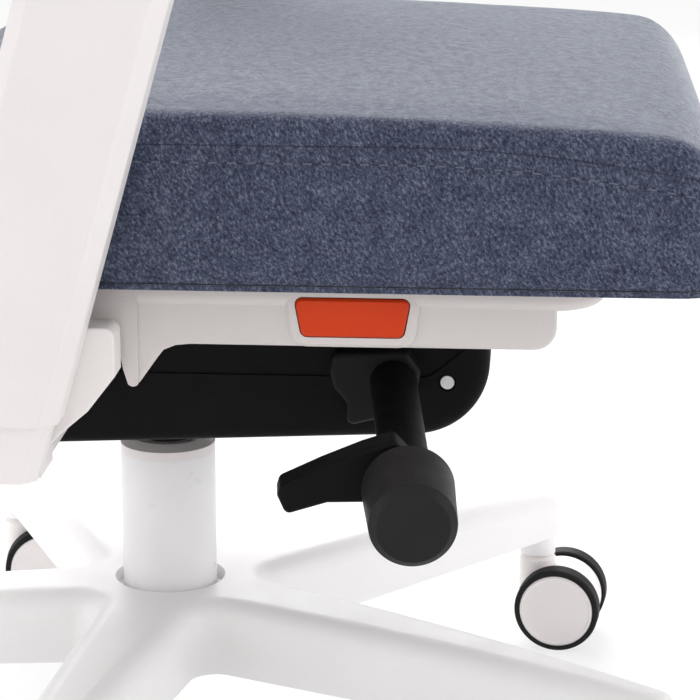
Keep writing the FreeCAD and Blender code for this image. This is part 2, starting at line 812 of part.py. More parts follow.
def side_screws(radius, head_radius, start, head_depth, length):
    """Screws through both sides of the lower casing, at the same places on each side."""
    screws = []
    for y, z in SCREW_PLACES:
        head = bar(head_radius, (start, y, z), head_depth, "x")
        shank = bar(radius, (start, y, z), length, "x")
        screw = fuse(head, shank)
        screws += [screw, mirrored(screw)]
    return screws


def bracket_bolts(radius, head_radius):
    """Bolts through the flanges of the arm brackets into the casing's sides."""
    outer = "-case_half - flange_thick"
    bolts = []
    for y, z in BOLT_PLACES:
        head = bar(head_radius, (f"{outer} - 4", y, z), "4", "x")
        shank = bar(radius, (outer, y, z), "flange_thick + case_wall + 6", "x")
        bolt = fuse(head, shank)
        bolts += [bolt, mirrored(bolt)]
    return bolts


def casing():
    region = case_lower_region()
    cavity = case_cavity()
    throat = bar("cylinder_radius + 4", ("0", "0", "case_low_rear - 10"), "30")
    fork_way = block(
        ("-cheek_outer - 3", "case_rear - case_wall - 8", "pin_z - 26"),
        ("cheek_outer + 3", "case_rear + 10", "pin_z + 20"),
    )
    lever_way = along_lever("lever_radius + 1", "-40", "80")
    lower = common(cut(case_body("0"), cavity), region)
    screw_holes = side_screws("2 + push_gap", "4.3", "-case_half - 1", "3.8", "17")
    bolt_holes = bracket_bolts("bolt_radius + push_gap", "bolt_radius + push_gap")
    keep(cut(lower, throat, fork_way, lever_way, *screw_holes, *bolt_holes), "housing_lower")
    ring_start = ("-case_half + case_ledge - ring_rise", "-case_front + 12", "case_top - 20")
    ring = cut(
        bar("ring_radius", ring_start, "case_wall", "x"),
        bar("ring_radius - 2", ring_start, "ring_rise", "x"),
    )
    upper_body = fuse(cut(case_body("case_ledge"), cavity), ring, mirrored(ring))
    upper = cut(upper_body, region)
    keep(cut(upper, fork_way, lever_way, *screw_holes, *bolt_holes), "housing_upper")
    keep(group(*side_screws("2", "3.4", "-case_half + 0.6", "2.2", "14")), "housing_screws")
    keep(group(*bracket_bolts("bolt_radius", "bolt_radius + 2.2")), "bracket_bolts")


def mechanism_plate():
    """Steel plate with ears for the tilt pin and tabs for the rocker."""
    plate = block(
        ("-plate_half", "-case_front + 8", "case_top"),
        ("plate_half", "case_rear - 4", "case_top + plate_thick"),
    )
    hangers = []
    for side in ("-1", "1"):
        hangers.append(("ear_inner", "pin_y - 13", "pin_y + 13", "pin_z - 11", side))
        hangers.append(("rocker_half * 2", "-rocker_y - 7", "-rocker_y + 7", "rocker_z - 6.5", side))
    pieces = [plate]
    for inner, front, rear, low, side in hangers:
        if side == "1":
            start, end = inner, f"{inner} + plate_thick"
        else:
            start, end = f"-{inner} - plate_thick", f"-{inner}"
        pieces.append(block((start, front, low), (end, rear, "case_top")))
    pin_hole = bar("pin_radius + push_gap", ("-pin_half * 2", "pin_y", "pin_z"), "pin_half * 4", "x")
    rocker_hole = bar("rocker_pin + run_gap", ("-pin_half", "-rocker_y", "rocker_z"), "pin_half * 2", "x")
    return cut(fuse(*pieces), pin_hole, rocker_hole)


def column_socket():
    """Socket round the cylinder's upper end, hung from the plate by two webs."""
    sleeve = bar("socket_radius", ("0", "0", "socket_low"), "cylinder_top - 4 - socket_low")
    webs = [
        block(("rocker_half + 2.5", "-12", "socket_low + 22"), ("socket_radius", "12", "case_top")),
        block(("-socket_radius", "-12", "socket_low + 22"), ("-rocker_half - 2.5", "12", "case_top")),
    ]
    bore = bar("cylinder_radius + push_gap", ("0", "0", "socket_low - 5"), "case_top")
    return cut(fuse(sleeve, *webs), bore)


def valve_rocker():
    """Strip with a trunnion; its front end is lifted and its rear end presses the valve."""
    low = "rocker_z - rocker_thick / 2"
    high = "rocker_z + rocker_thick / 2"
    strip = block(("-rocker_half", "-rocker_y - 61", low), ("rocker_half", "8", high))
    foot = block(("-30", "-rocker_y - 61", low), ("rocker_half", "-rocker_y - 48", high))
    trunnion_start = ("-rocker_half * 2 - 4", "-rocker_y", "rocker_z")
    trunnion = bar("rocker_pin", trunnion_start, "rocker_half * 4 + 8", "x")
    return fuse(strip, foot, trunnion)


def coil(radius, wire, turns, length, start, direction, first):
    """One unbroken spring: a round wire along quarter-turn arcs of a helix that starts towards first."""
    second = direction.cross(first)
    quarters = 4 * turns

    def point(step):
        turn = math.pi / 2 * step
        forward = wire + (length - 2 * wire) * step / quarters
        return start + direction * forward + (first * math.cos(turn) + second * math.sin(turn)) * radius

    arcs = [Part.Arc(point(k), point(k + 0.5), point(k + 1)).toShape() for k in range(quarters)]
    path = Part.Wire(arcs)
    heading = arcs[0].tangentAt(arcs[0].FirstParameter)
    section = Part.Wire(Part.makeCircle(wire, point(0), heading))
    return path.makePipeShell([section], True, False)


def tilt_springs():
    """Two springs between the plate and the front ends of the back fork's cheeks."""
    low = number("upright_low + upright_thick + 2 + slide_gap")
    length = number("case_top - slide_gap") - low
    springs = []
    for side in (-1, 1):
        start = Vector(side * number("spring_x"), number("spring_y"), low)
        radius = number("spring_radius")
        wire = number("spring_wire")
        shape = coil(radius, wire, 4, length, start, Vector(0, 0, 1), Vector(1, 0, 0))
        springs.append(plain_shape(shape, "TiltSpring"))
    return group(*springs)


def mechanism():
    casing()
    keep(mechanism_plate(), "mechanism_plate")
    keep(column_socket(), "column_socket")
    keep(bar("pin_radius", ("-pin_half", "pin_y", "pin_z"), "pin_half * 2", "x"), "tilt_pin")
    keep(tilt_springs(), "tilt_springs")
    keep(valve_rocker(), "valve_rocker")


# Height lever and tension knob
def lever_boss():
    """Pod on the casing's right side that guides the lever."""
    pod = padded(
        "YZ_Plane",
        [
            ("-lever_y + 28.7", "lever_z + 12.5"),
            ("-lever_y + 30.5", "lever_z + 3.4"),
            ("-lever_y + 28.2", "lever_z - 5"),
            ("-lever_y + 21.5", "lever_z - 13"),
            ("-lever_y + 22", "lever_z - 24.5"),
            ("-lever_y + 6", "lever_z - 20.5"),
            ("-lever_y - 12", "lever_z - 13"),
            ("-lever_y - 15", "lever_z + 4"),
            ("-lever_y - 8", "lever_z + 14"),
        ],
        "-case_half - 13",
        "-case_half",
        "Pod",
    )
    round_edges(pod, "3.5", across)
    outer = "-case_half - 13"
    round_edges(pod, "2.5", lambda edge: lies_at(edge, "x", outer))
    return cut(pod, along_lever("lever_radius + run_gap", "-60", "120"))


def height_lever():
    """Hollow shaft with a paddle at its outer end and a lifting finger at its inner end."""
    shaft = along_lever("lever_radius", "-lever_length", "lever_length + lever_inner")
    blade = padded(
        "YZ_Plane",
        [
            ("-4", "11"),
            ("6", "22"),
            ("20", "17.5"),
            ("38", "10"),
            ("57", "1"),
            ("58.5", "-4"),
            ("54.5", "-13.5"),
            ("36", "-8"),
            ("20", "-8"),
            ("-4", "-9"),
        ],
        "-lever_length",
        "-lever_length + blade_thick",
        "Blade",
    )
    round_edges(blade, "3", lambda edge: across(edge) and middle(edge).y > 5)
    for face in ("-lever_length", "-lever_length + blade_thick"):
        round_edges(blade, "2", lambda edge, place=face: lies_at(edge, "x", place)
                    and middle(edge).y > 5)
    blade.Placement = lever_placement()
    finger = block(("lever_inner - 20", "-5", "0"), ("lever_inner - 4", "18", "finger_height"))
    lift = doc.addObject("Part::Compound", "Finger")
    lift.Links = [finger]
    lift.Placement = lever_placement()
    bore = along_lever("tension_radius + run_gap", "-lever_length - 5", "lever_length + lever_inner + 10")
    return cut(fuse(shaft, blade, lift), bore)


def tension_knob():
    """Knob turned about the lever's axis, tapering to a chamfered face."""
    back = "lever_length + slide_gap"
    knob = turned(
        [
            ("tension_radius + push_gap", back),
            ("knob_radius - 2.5", back),
            ("knob_radius", f"{back} + 2.5"),
            ("knob_face", f"{back} + knob_length - knob_chamfer"),
            ("knob_face - knob_chamfer", f"{back} + knob_length"),
            ("0", f"{back} + knob_length"),
            ("0", f"{back} + knob_length - 12"),
            ("tension_radius + push_gap", f"{back} + knob_length - 12"),
        ],
        "Knob",
    )
    face = number(f"{back} + knob_length")
    reach = number("knob_chamfer * 1.1")
    rim = number("knob_face - knob_chamfer * 1.5")

    def on_chamfer(edge):
        """True for the two circles that bound the knob's chamfer."""
        place = edge.CenterOfMass if edge.Closed else middle(edge)
        radius = edge.Curve.Radius if hasattr(edge.Curve, "Radius") else 0
        return abs(place.z - face) < reach and radius > rim

    round_edges(knob, "1.2", on_chamfer)
    knob.Placement = lever_placement().multiply(Placement(Vector(), Rotation(Vector(0, 1, 0), -90)))
    return knob


def lever_set():
    keep(lever_boss(), "lever_boss")
    keep(height_lever(), "height_lever")
    keep(tension_knob(), "tension_knob")
    outside = "lever_length + knob_length - 13"
    rod = along_lever("tension_radius", f"-({outside})", f"{outside} + lever_inner + 12")
    collar = along_lever("tension_radius + 4", "lever_inner + slide_gap", "8")
    keep(fuse(rod, collar), "tension_rod")


# Seat
def button_outline(grow):
    """The press button's rounded trapezoid, grown by a margin."""
    return [
        (f"-button_middle - button_low_half - ({grow})", f"button_low - ({grow})"),
        (f"-button_middle + button_low_half + ({grow})", f"button_low - ({grow})"),
        (f"-button_middle + button_top_half + ({grow})", f"button_high + ({grow})"),
        (f"-button_middle - button_top_half - ({grow})", f"button_high + ({grow})"),
    ]


def button_prism(grow, start, end, corner):
    prism = padded("YZ_Plane", button_outline(grow), start, end, "ButtonPrism")
    return round_edges(prism, corner, across)


def seat_screws(radius, head_radius):
    """Screws that hold the runners up against the pan."""
    screws = []
    for x, y in SEAT_SCREW_PLACES:
        low = "pan_top - pan_plate - runner_wall"
        shank = bar(radius, (x, y, low), "runner_wall + pan_plate - 2")
        head = bar(head_radius, (x, y, f"{low} - 0.2"), "1.4")
        screws.append(fuse(head, shank))
    return screws


def seat_pan():
    """Plate with a side rail, a fin and a button bezel on each side."""
    plate_low = "pan_top - pan_plate"
    plate = padded(
        "XY_Plane",
        [
            ("-pan_half", "-pan_front"),
            ("pan_half", "-pan_front"),
            ("pan_half", "pan_rear"),
            ("-pan_half", "pan_rear"),
        ],
        plate_low,
        "pan_top",
        "PanPlate",
    )
    round_edges(plate, "pan_corner", upright)
    round_edges(plate, "6", lambda edge: lies_at(edge, "z", plate_low))
    band = padded(
        "YZ_Plane",
        [
            ("pan_rear - 6", f"{plate_low} + 5"),
            ("pan_rear - 6", "notch_top"),
            ("-3.5", "notch_top"),
            ("-7", "notch_top - 3.5"),
            ("-9.8", "fin_tip + 8"),
            ("-12", "fin_tip + 0.8"),
            ("-14.1", "fin_tip"),
            ("-16.5", "fin_tip + 0.8"),
            ("-16.5", f"{plate_low} + 5"),
        ],
        "-pan_half",
        "-pan_half + pan_rail",
        "PanFin",
    )
    round_edges(band, "1.6", lambda edge: across(edge) and middle(edge).z < number("pan_low - 6"))
    rail = padded(
        "YZ_Plane",
        [
            ("-12", f"{plate_low} + 5"),
            ("-12", "fin_tip + 4"),
            ("-16.5", "fin_tip + 1"),
            ("-24.4", "fin_tip + 12.2"),
            ("-27.5", "fin_tip + 16.3"),
            ("-33", "fin_tip + 18.6"),
            ("-40", "pan_low"),
            ("-pan_front + 22", "pan_low"),
            ("-pan_front + 22", f"{plate_low} + 5"),
        ],
        "-pan_half + pan_recess",
        "-pan_half + pan_rail",
        "PanRail",
    )
    outer = "-pan_half + pan_recess"
    near_low = number("pan_low + 8")
    near_front = number("-pan_front + 30")

    def lower_nose(edge):
        return across(edge) and middle(edge).y < near_front and middle(edge).z < near_low

    def lower_outer(edge):
        return lies_at(edge, "x", outer) and middle(edge).z < near_low

    round_edges(rail, "10", lower_nose)
    round_edges(rail, "2", lower_outer)
    bezel_corner = "button_round + bezel_width"
    bezel = button_prism("bezel_width", "-pan_half", "-pan_half + pan_rail", bezel_corner)
    bevel_edges(bezel, "1.5", lambda edge: lies_at(edge, "x", "-pan_half"))
    below = block(
        ("-pan_half - 5", "-button_middle - 90", "pan_low - 40"),
        ("-pan_half + pan_rail + 5", "-button_middle + 60", "pan_low"),
    )
    side = fuse(band, rail, cut(bezel, below))
    pocket_end = "-pan_half + button_depth + button_travel + 3"
    pocket = button_prism("button_gap", "-pan_half - 5", pocket_end, "button_round + button_gap")
    latch_start = ("-pan_half", "-button_middle", "latch_z")
    latch_way = bar("latch_radius + run_gap", latch_start, "pan_rail + 10", "x")
    holes = seat_screws("2 + push_gap", "2 + push_gap")
    right_tools = fuse(pocket, latch_way)
    whole = fuse(plate, side, mirrored(side))
    return cut(whole, right_tools, mirrored(right_tools), *holes)


def press_set():
    """Button with its latch rod: the rod's head draws into the rail when the spring pushes out."""
    back = "-pan_half - button_proud + button_depth"
    cap = button_prism("0", "-pan_half - button_proud", back, "button_round")
    bevel_edges(cap, "1", lambda edge: lies_at(edge, "x", "-pan_half - button_proud"))
    rod_end = "-rail_x - rail_half + rail_wall + 6"
    rod_start = (f"{back} - 4", "-button_middle", "latch_z")
    rod = bar("latch_radius", rod_start, f"{rod_end} - ({back}) + 4", "x")
    head = bar("latch_radius * 1.7", (f"{rod_end} - 3", "-button_middle", "latch_z"), "3", "x")
    button = fuse(cap, rod, head)
    start_x = number(back) + number("slide_gap")
    end_x = number("-pan_half + button_depth + button_travel + 3") - number("slide_gap")
    start = Vector(start_x, -number("button_middle"), number("latch_z"))
    wire = number("latch_wire")
    radius = number("latch_radius") + wire + number("slide_gap")
    shape = coil(radius, wire, 3, end_x - start_x, start, Vector(1, 0, 0), Vector(0, 0, 1))
    spring = plain_shape(shape, "PressSpring")
    for name, piece in (("press_button", button), ("press_spring", spring)):
        keep(piece, f"{name}_right")
        keep(mirrored(piece), f"{name}_left")


def seat_slide():
    """Fixed rails on the steel plate and the runners that carry the pan."""
    low = "case_top + plate_thick"
    high = f"{low} + rail_height"
    slot_half = "latch_radius + slide_gap"
    rail_side = "-rail_x - rail_half"
    rail = cut(
        block(
            ("-rail_x - rail_half", "-button_middle - slide_travel - 9", low),
            ("-rail_x + rail_half", "case_rear - 8", high),
        ),
        block(
            (f"{rail_side} + rail_wall", "-button_middle - slide_travel - 20", f"{low} + rail_wall"),
            ("-rail_x + rail_half - rail_wall", "case_rear", f"{high} - rail_wall"),
        ),
        block(
            ("-rail_x - rail_half - 1", "-button_middle - slide_travel - 4", f"latch_z - ({slot_half})"),
            ("-rail_x - rail_half + rail_wall + 1", "-button_middle + 4", f"latch_z + {slot_half}"),
        ),
    )
    keep(group(rail, mirrored(rail)), "seat_rails")
    top = "pan_top - pan_plate"
    inner_half = "rail_half + slide_gap"
    latch_start = ("-rail_x - rail_half * 2", "-button_middle", "latch_z")
    runner = cut(
        block(
            (f"-rail_x - ({inner_half}) - runner_wall", "-runner_front", f"{low} + 4"),
            (f"-rail_x + {inner_half} + runner_wall", "pan_rear - 15", top),
        ),
        block(
            (f"-rail_x - ({inner_half})", "-runner_front - 5", low),
            (f"-rail_x + {inner_half}", "pan_rear", f"{top} - runner_wall"),
        ),
        bar("latch_radius + run_gap", latch_start, "rail_half * 2", "x"),
    )
    holes = seat_screws("2 + push_gap", "4.2")
    pair = fuse(runner, mirrored(runner))
    keep(cut(pair, *holes), "seat_runners")
    keep(group(*seat_screws("2", "4")), "seat_screws")


def cushion_section(along, half, edge, crown, low, draw, corner):
    """Cross-section of the seat cushion: flat hem, bulging sides, round upper edges, crowned top."""
    hem = half - draw
    shoulder = edge - corner
    belly = (low + shoulder) / 2
    lean = corner * (1 - math.sqrt(0.5))

    def point(x, z):
        return Vector(x, along, z)

    def right_and_left(*places):
        right = [point(x, z) for x, z in places]
        left = [point(-x, z) for x, z in reversed(places)]
        return Part.Arc(*right).toShape(), Part.Arc(*left).toShape()

    side = right_and_left((hem, low), (half, belly), (half - draw / 3, shoulder))
    top_x = half - draw / 3 - corner
    side_x = half - draw / 3
    turn = right_and_left((side_x, shoulder), (side_x - lean, edge - lean), (top_x, edge))
    crown_arc = Part.Arc(point(top_x, edge), point(0, edge + crown), point(-top_x, edge)).toShape()
    base = Part.makeLine(point(-hem, low), point(hem, low))
    return Part.Wire([base, side[0], turn[0], crown_arc, turn[1], side[1]])


def seat_cushion():
    """Crowned cushion with drawn-in sides and a rounded front, lofted from rear to front."""
    half = number("cushion_half")
    edge = number("cushion_edge")
    crown = number("cushion_crown")
    rear = number("cushion_rear")
    front = -number("cushion_front")
    low = number("pan_top + slide_gap")
    corner = number("cushion_round")
    draw = number("cushion_draw")
    plan_corner = number("cushion_corner")
    tail = number("cushion_tail")
    nose = number("cushion_nose")
    nose_fall = number("cushion_nose_fall")
    dip = number("cushion_dip")
    dip_start = -number("cushion_dip_start")
    crown_reach = number("crown_reach")

    def falling(distance, reach):
        """From 1 at an end to 0 at reach, along a quarter of an ellipse."""
        left = max(0, 1 - distance / reach)
        return 1 - math.sqrt(1 - left * left)

    span = rear - front
    ends = (0, 1.5, 4, 8, 13, 19, 26, 34, 52, 80, 112)
    stations = [rear - step for step in ends]
    stations.append(rear - span / 2)
    stations += [front + step for step in reversed(ends)]
    wires = []
    for along in stations:
        nearest = min(rear - along, along - front)
        narrow = plan_corner * falling(nearest, plan_corner)
        ahead = max(0, (dip_start - along) / (dip_start - front))
        fall = tail * falling(rear - along, tail * 2) + nose_fall * falling(along - front, nose)
        fall += dip * ahead * ahead
        share = min(1, 0.2 + nearest / crown_reach)
        wires.append(
            cushion_section(along, half - narrow, edge - fall, crown * share, low, draw, corner)
        )
    return plain_shape(Part.makeLoft(wires, True, False), "SeatCushion")


def seat():
    keep(seat_pan(), "seat_pan")
    press_set()
    seat_slide()
    keep(seat_cushion(), "seat_cushion")


# Arm rests
def leaning(front, low, high, depth):
    """Side view of a post that leans forward on its way up, cut level at both ends."""
    def place(level):
        return f"{front} - (({level}) - sleeve_low) * tan(arm_lean)"

    return [
        (place(low), low),
        (f"{place(low)} + {depth}", low),
        (f"{place(high)} + {depth}", high),
        (place(high), high),
    ]


def post_body(grow, low, high):
    """The arm post, or with grow its cavity in the sleeve; bevelled like the sleeve outside."""
    inset = "(sleeve_wall + slide_gap)"
    body = padded(
        "YZ_Plane",
        leaning(f"sleeve_front + {inset} - {grow}", low, high, f"(post_depth + 2 * {grow})"),
        f"-post_x - post_half - {grow}",
        f"-post_x + post_half + {grow}",
        "Post",
    )
    outer = number(f"-post_x - post_half - {grow}")
    return bevel_edges(
        body, "sleeve_bevel - 1.5", lambda edge: slanted(edge) and abs(middle(edge).x - outer) < 0.1
    )


def slanted(edge):
    """True for the long edges of a leaning post."""
    lean = math.radians(number("arm_lean"))
    return runs_along(edge, Vector(0, -math.sin(lean), math.cos(lean)))


def arm_bracket():
    """Flange on the casing, a beam under the pan, a cheek beside it and a leaning post."""
    def beam(top, start, end):
        return block((start, "beam_front", "beam_low"), (end, "beam_rear", top), "Beam")

    def cheek(top, back, start, end):
        """Cheek plate whose lower front edge slants back to the post."""
        front = f"-cheek_front + {back}"
        drop = f"(cheek_top - {top})"
        return padded(
            "YZ_Plane",
            [
                (front, top),
                (front, f"cheek_top - 21.8 - {drop}"),
                (f"{front} + 12.5", f"cheek_top - 38 - {drop}"),
                (f"{front} + 25.5", f"cheek_top - 49.2 - {drop} / 2"),
                (f"{front} + 39.5", "post_low"),
                ("beam_rear", "post_low"),
                ("beam_rear", top),
            ],
            start,
            end,
            "Cheek",
        )

    flange_x = "-case_half - flange_thick"
    flange = block(
        (flange_x, "beam_front", "beam_low"),
        ("-case_half", "beam_rear + 4", "case_top - 6"),
    )
    sleeve_side = "-post_x + post_half + sleeve_wall + slide_gap * 2"
    inner = beam("case_top - 4", "-plate_half - 8", flange_x)
    outer = beam("beam_top", "-pan_half - 4", "-plate_half - 8")
    plate = cheek("cheek_top", "0", sleeve_side, "-pan_half - 4")
    round_edges(plate, "4.5", lambda edge: across(edge) and middle(edge).y < 0
                and lies_at(edge, "z", "cheek_top"))
    near_face = number(sleeve_side)
    round_edges(plate, "1.2", lambda edge: abs(middle(edge).x - near_face) < 0.01
                and middle(edge).y < number("beam_front"))
    link = block(
        ("-post_x", "beam_front - 6", "post_low"),
        ("-pan_half - 6", "beam_rear", "sleeve_low - 2"),
        "Link",
    )
    post = post_body("0", "post_low", "post_top")
    round_edges(post, "1.5", slanted)
    holes = bracket_bolts("bolt_radius + push_gap", "bolt_radius + 3")
    return cut(fuse(flange, inner, outer, plate, link, post), *holes)


def arm_sleeve():
    """Sleeve over the post, bevelled along its outer edges."""
    half = "(post_half + sleeve_wall + slide_gap)"
    depth = "(post_depth + 2 * (sleeve_wall + slide_gap))"
    body = padded(
        "YZ_Plane",
        leaning("sleeve_front", "sleeve_low", "sleeve_top", depth),
        f"-post_x - {half}",
        f"-post_x + {half}",
        "Sleeve",
    )
    outer = number(f"-post_x - {half}")
    bevel_edges(body, "sleeve_bevel", lambda edge: slanted(edge) and abs(middle(edge).x - outer) < 0.1)
    round_edges(body, "2.5", slanted)
    cavity = post_body("slide_gap", "sleeve_low - 20", "post_top + 3")
    return cut(body, cavity)


def arm_pad():
    """Flat pad on top of the sleeve, rounded all over its upper side."""
    pad = padded(
        "XY_Plane",
        [
            ("-post_x - pad_half", "-pad_front"),
            ("-post_x + pad_half", "-pad_front"),
            ("-post_x + pad_half", "pad_rear"),
            ("-post_x - pad_half", "pad_rear"),
        ],
        "sleeve_top",
        "sleeve_top + pad_height",
        "ArmPad",
    )
    round_edges(pad, "26", upright)
    round_edges(pad, "7", lambda edge: lies_at(edge, "z", "sleeve_top + pad_height"))
    return round_edges(pad, "3", lambda edge: lies_at(edge, "z", "sleeve_top"))


def arm_rests():
    pieces = {"arm_bracket": arm_bracket(), "arm_sleeve": arm_sleeve(), "arm_pad": arm_pad()}
    for name, piece in pieces.items():
        keep(piece, f"{name}_right")
        keep(mirrored(piece), f"{name}_left")


# Back
def back_placement():
    """The back's own frame: its rear face stands on the upright's front face and leans with it."""
    rise = number("back_low - upright_low - upright_thick * 2")
    front = number("upright_rear - upright_thick") + rise * math.tan(math.radians(number("back_lean")))
    return Placement(Vector(0, front, number("back_low")), Rotation(Vector(1, 0, 0), -number("back_lean")))


def back_upright():
    """Fork round the tilt pin, a level neck and a leaning upright."""
    high = "upright_low + upright_thick + 2"
    bend = "upright_low + upright_thick * 2"
    lean = f"(upright_top - ({bend})) * tan(back_lean)"
    spine = padded(
        "YZ_Plane",
        [
            ("case_rear - 14", "upright_low"),
            ("upright_rear - 34", "upright_low"),
            ("upright_rear - 4 * tan(back_lean)", f"{bend} - 4"),
            (f"upright_rear + {lean}", "upright_top"),
            (f"upright_rear + {lean} - upright_thick", "upright_top"),
            ("upright_rear - upright_thick", bend),
            ("upright_rear - 40", high),
            ("case_rear - 14", high),
        ],
        "-upright_half",
        "upright_half",
        "Spine",
    )
    round_edges(spine, "16", lambda edge: across(edge) and number("upright_rear - 45") < middle(edge).y
                < number("upright_rear + 1") and middle(edge).z < number(bend) + 1)
    round_edges(spine, "4", lambda edge: not across(edge) and (
        lies_at(edge, "x", "upright_half") or lies_at(edge, "x", "-upright_half")))
    yoke = block(("-cheek_outer", "case_rear - 14", "upright_low"), ("cheek_outer", "case_rear + 16", high))
    cheeks = []
    for start, end in (("-cheek_outer", "-cheek_inner"), ("cheek_inner", "cheek_outer")):
        cheek = padded(
            "YZ_Plane",
            [
                ("spring_y - 10", f"{high} - 8"),
                ("pin_y - 10", "pin_z - 14"),
                ("pin_y + 10", "pin_z - 14"),
                ("case_rear - 10", "upright_low"),
                ("case_rear - 10", high),
                ("spring_y - 10", high),
            ],
            start,
            end,
            "Cheek",
        )
        cheeks.append(cheek)
    hole = bar("pin_radius + run_gap", ("-pin_half", "pin_y", "pin_z"), "pin_half * 2", "x")
    bolt_holes = [bar_on_back("2.5 + push_gap", height, "-back_wall - 4", "back_wall + upright_thick + 14")
                  for height in BACK_BOLT_HEIGHTS]
    return cut(fuse(spine, yoke, *cheeks), hole, *bolt_holes)


def bar_on_back(radius, height, start, length):
    """A round bar square to the back at a height above the shell's lower edge."""
    rod = doc.addObject("Part::Cylinder", "BackBar")
    bind(rod, "Radius", radius)
    bind(rod, "Height", length)
    local = Placement(Vector(0, number(start), number(height)), AXIS_TURNS["y"])
    rod.Placement = back_placement().multiply(local)
    return rod


def back_bolts():
    """Bolts through the upright into the back shell, with their heads behind the upright."""
    thick = "upright_thick * cos(back_lean)"
    bolts = []
    for height in BACK_BOLT_HEIGHTS:
        head = bar_on_back("5", height, thick, "3")
        shank = bar_on_back("2.5", height, "-back_wall + 2", f"{thick} + back_wall - 2")
        bolts.append(fuse(head, shank))
    return group(*bolts)


def back_shell():
    """Bowed shell with large corners: a rounded panel cut from a cylinder wall."""
    panel = padded(
        "XZ_Plane",
        [
            ("-back_half", "0"),
            ("back_half", "0"),
            ("back_half", "back_height"),
            ("-back_half", "back_height"),
        ],
        "-20",
        "140",
        "BackPanel",
    )
    round_edges(panel, "back_corner", lambda edge: runs_along(edge, Vector(0, 1, 0)))
    wall = cut(
        bar("back_bow", ("0", "-back_bow", "-10"), "back_height + 20"),
        bar("back_bow - back_wall", ("0", "-back_bow", "-20"), "back_height + 40"),
    )
    shell = common(panel, wall)
    holes = [bar("2.5 + push_gap", ("0", "-back_wall * 2", height), "back_wall * 4", "y")
             for height in BACK_BOLT_HEIGHTS]
    placed = group(cut(shell, *holes))
    placed.Placement = back_placement()
    return placed


def back_section(height, half, thick, bow, gap):
    """Plan of the back cushion: a bowed rear face, drawn-in ends and a fuller front."""
    def bowed(x, radius):
        return -bow + math.sqrt(radius * radius - x * x)

    inner = bow - gap
    end = half - 4
    rear_y = bowed(half, inner)
    front_y = bowed(end, inner) - thick * 0.45
    middle_y = bowed(0, inner) - thick
    rear = Part.Arc(
        Vector(-half, rear_y, height), Vector(0, bowed(0, inner), height), Vector(half, rear_y, height)
    ).toShape()
    right = Part.Arc(
        Vector(half, rear_y, height),
        Vector(half + 2.5, (rear_y + front_y) / 2, height),
        Vector(end, front_y, height),
    ).toShape()
    front = Part.Arc(
        Vector(end, front_y, height), Vector(0, middle_y, height), Vector(-end, front_y, height)
    ).toShape()
    left = Part.Arc(
        Vector(-end, front_y, height),
        Vector(-half - 2.5, (rear_y + front_y) / 2, height),
        Vector(-half, rear_y, height),
    ).toShape()
    return Part.Wire([rear, right, front, left])


def back_cushion():
    """Crowned cushion on the shell's front, narrower and thinner towards its upper and lower edges."""
    half = number("back_half - back_inset")
    tall = number("back_height")
    inset = number("back_inset")
    thick = number("back_pad")
    corner = number("back_corner")
    gap = number("back_wall + slide_gap")
    bow = number("back_bow")
    lower = []
    for share in (0, 0.03, 0.09, 0.18, 0.3, 0.45, 0.7, 1):
        narrow = corner - math.sqrt(corner * corner - (corner * (1 - share)) ** 2)
        depth = thick * (1 - 0.5 * (1 - share) ** 3)
        lower.append((inset + corner * share, half - narrow * 0.85, depth))
    clear = tall - 2 * (inset + corner)
    between = [(inset + corner + clear * share, half, thick) for share in (0.25, 0.5, 0.75)]
    upper = [(tall - height, width, depth) for height, width, depth in reversed(lower)]
    sections = [back_section(*station, bow, gap) for station in lower + between + upper]
    cushion = plain_shape(Part.makeLoft(sections, True, False), "BackCushion")
    cushion.Placement = back_placement()
    return cushion


def back():
    keep(back_upright(), "back_upright")
    keep(back_shell(), "back_shell")
    keep(back_bolts(), "back_bolts")
    keep(back_cushion(), "back_cushion")


# The whole chair
keep(star_base(), "star_base")
keep(caster_stems(), "caster_stems")
casters()
gas_lift()
mechanism()
lever_set()
seat()
arm_rests()
back()
doc.recompute()

failed = [item.Label for item in doc.Objects if "Invalid" in item.State or "Error" in item.State]
if failed:
    raise RuntimeError(f"objects that failed: {failed}")
for item in sub_parts:
    if item.Shape.isNull() or not item.Shape.isValid() or not item.Shape.Solids:
        raise RuntimeError(f"no sound solid in {item.Label}")

os.makedirs("parts", exist_ok=True)
for item in sub_parts:
    item.Shape.exportStep(os.path.join("parts", f"{item.Label}.step"))
print(len(sub_parts), "sub-parts written")
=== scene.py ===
"""Looks of the kids desk chair: materials, cushions, sewing, springs, light and the photograph's camera."""

import json
import math

import bpy
import numpy as np
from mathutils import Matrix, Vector
from mathutils.bvhtree import BVHTree

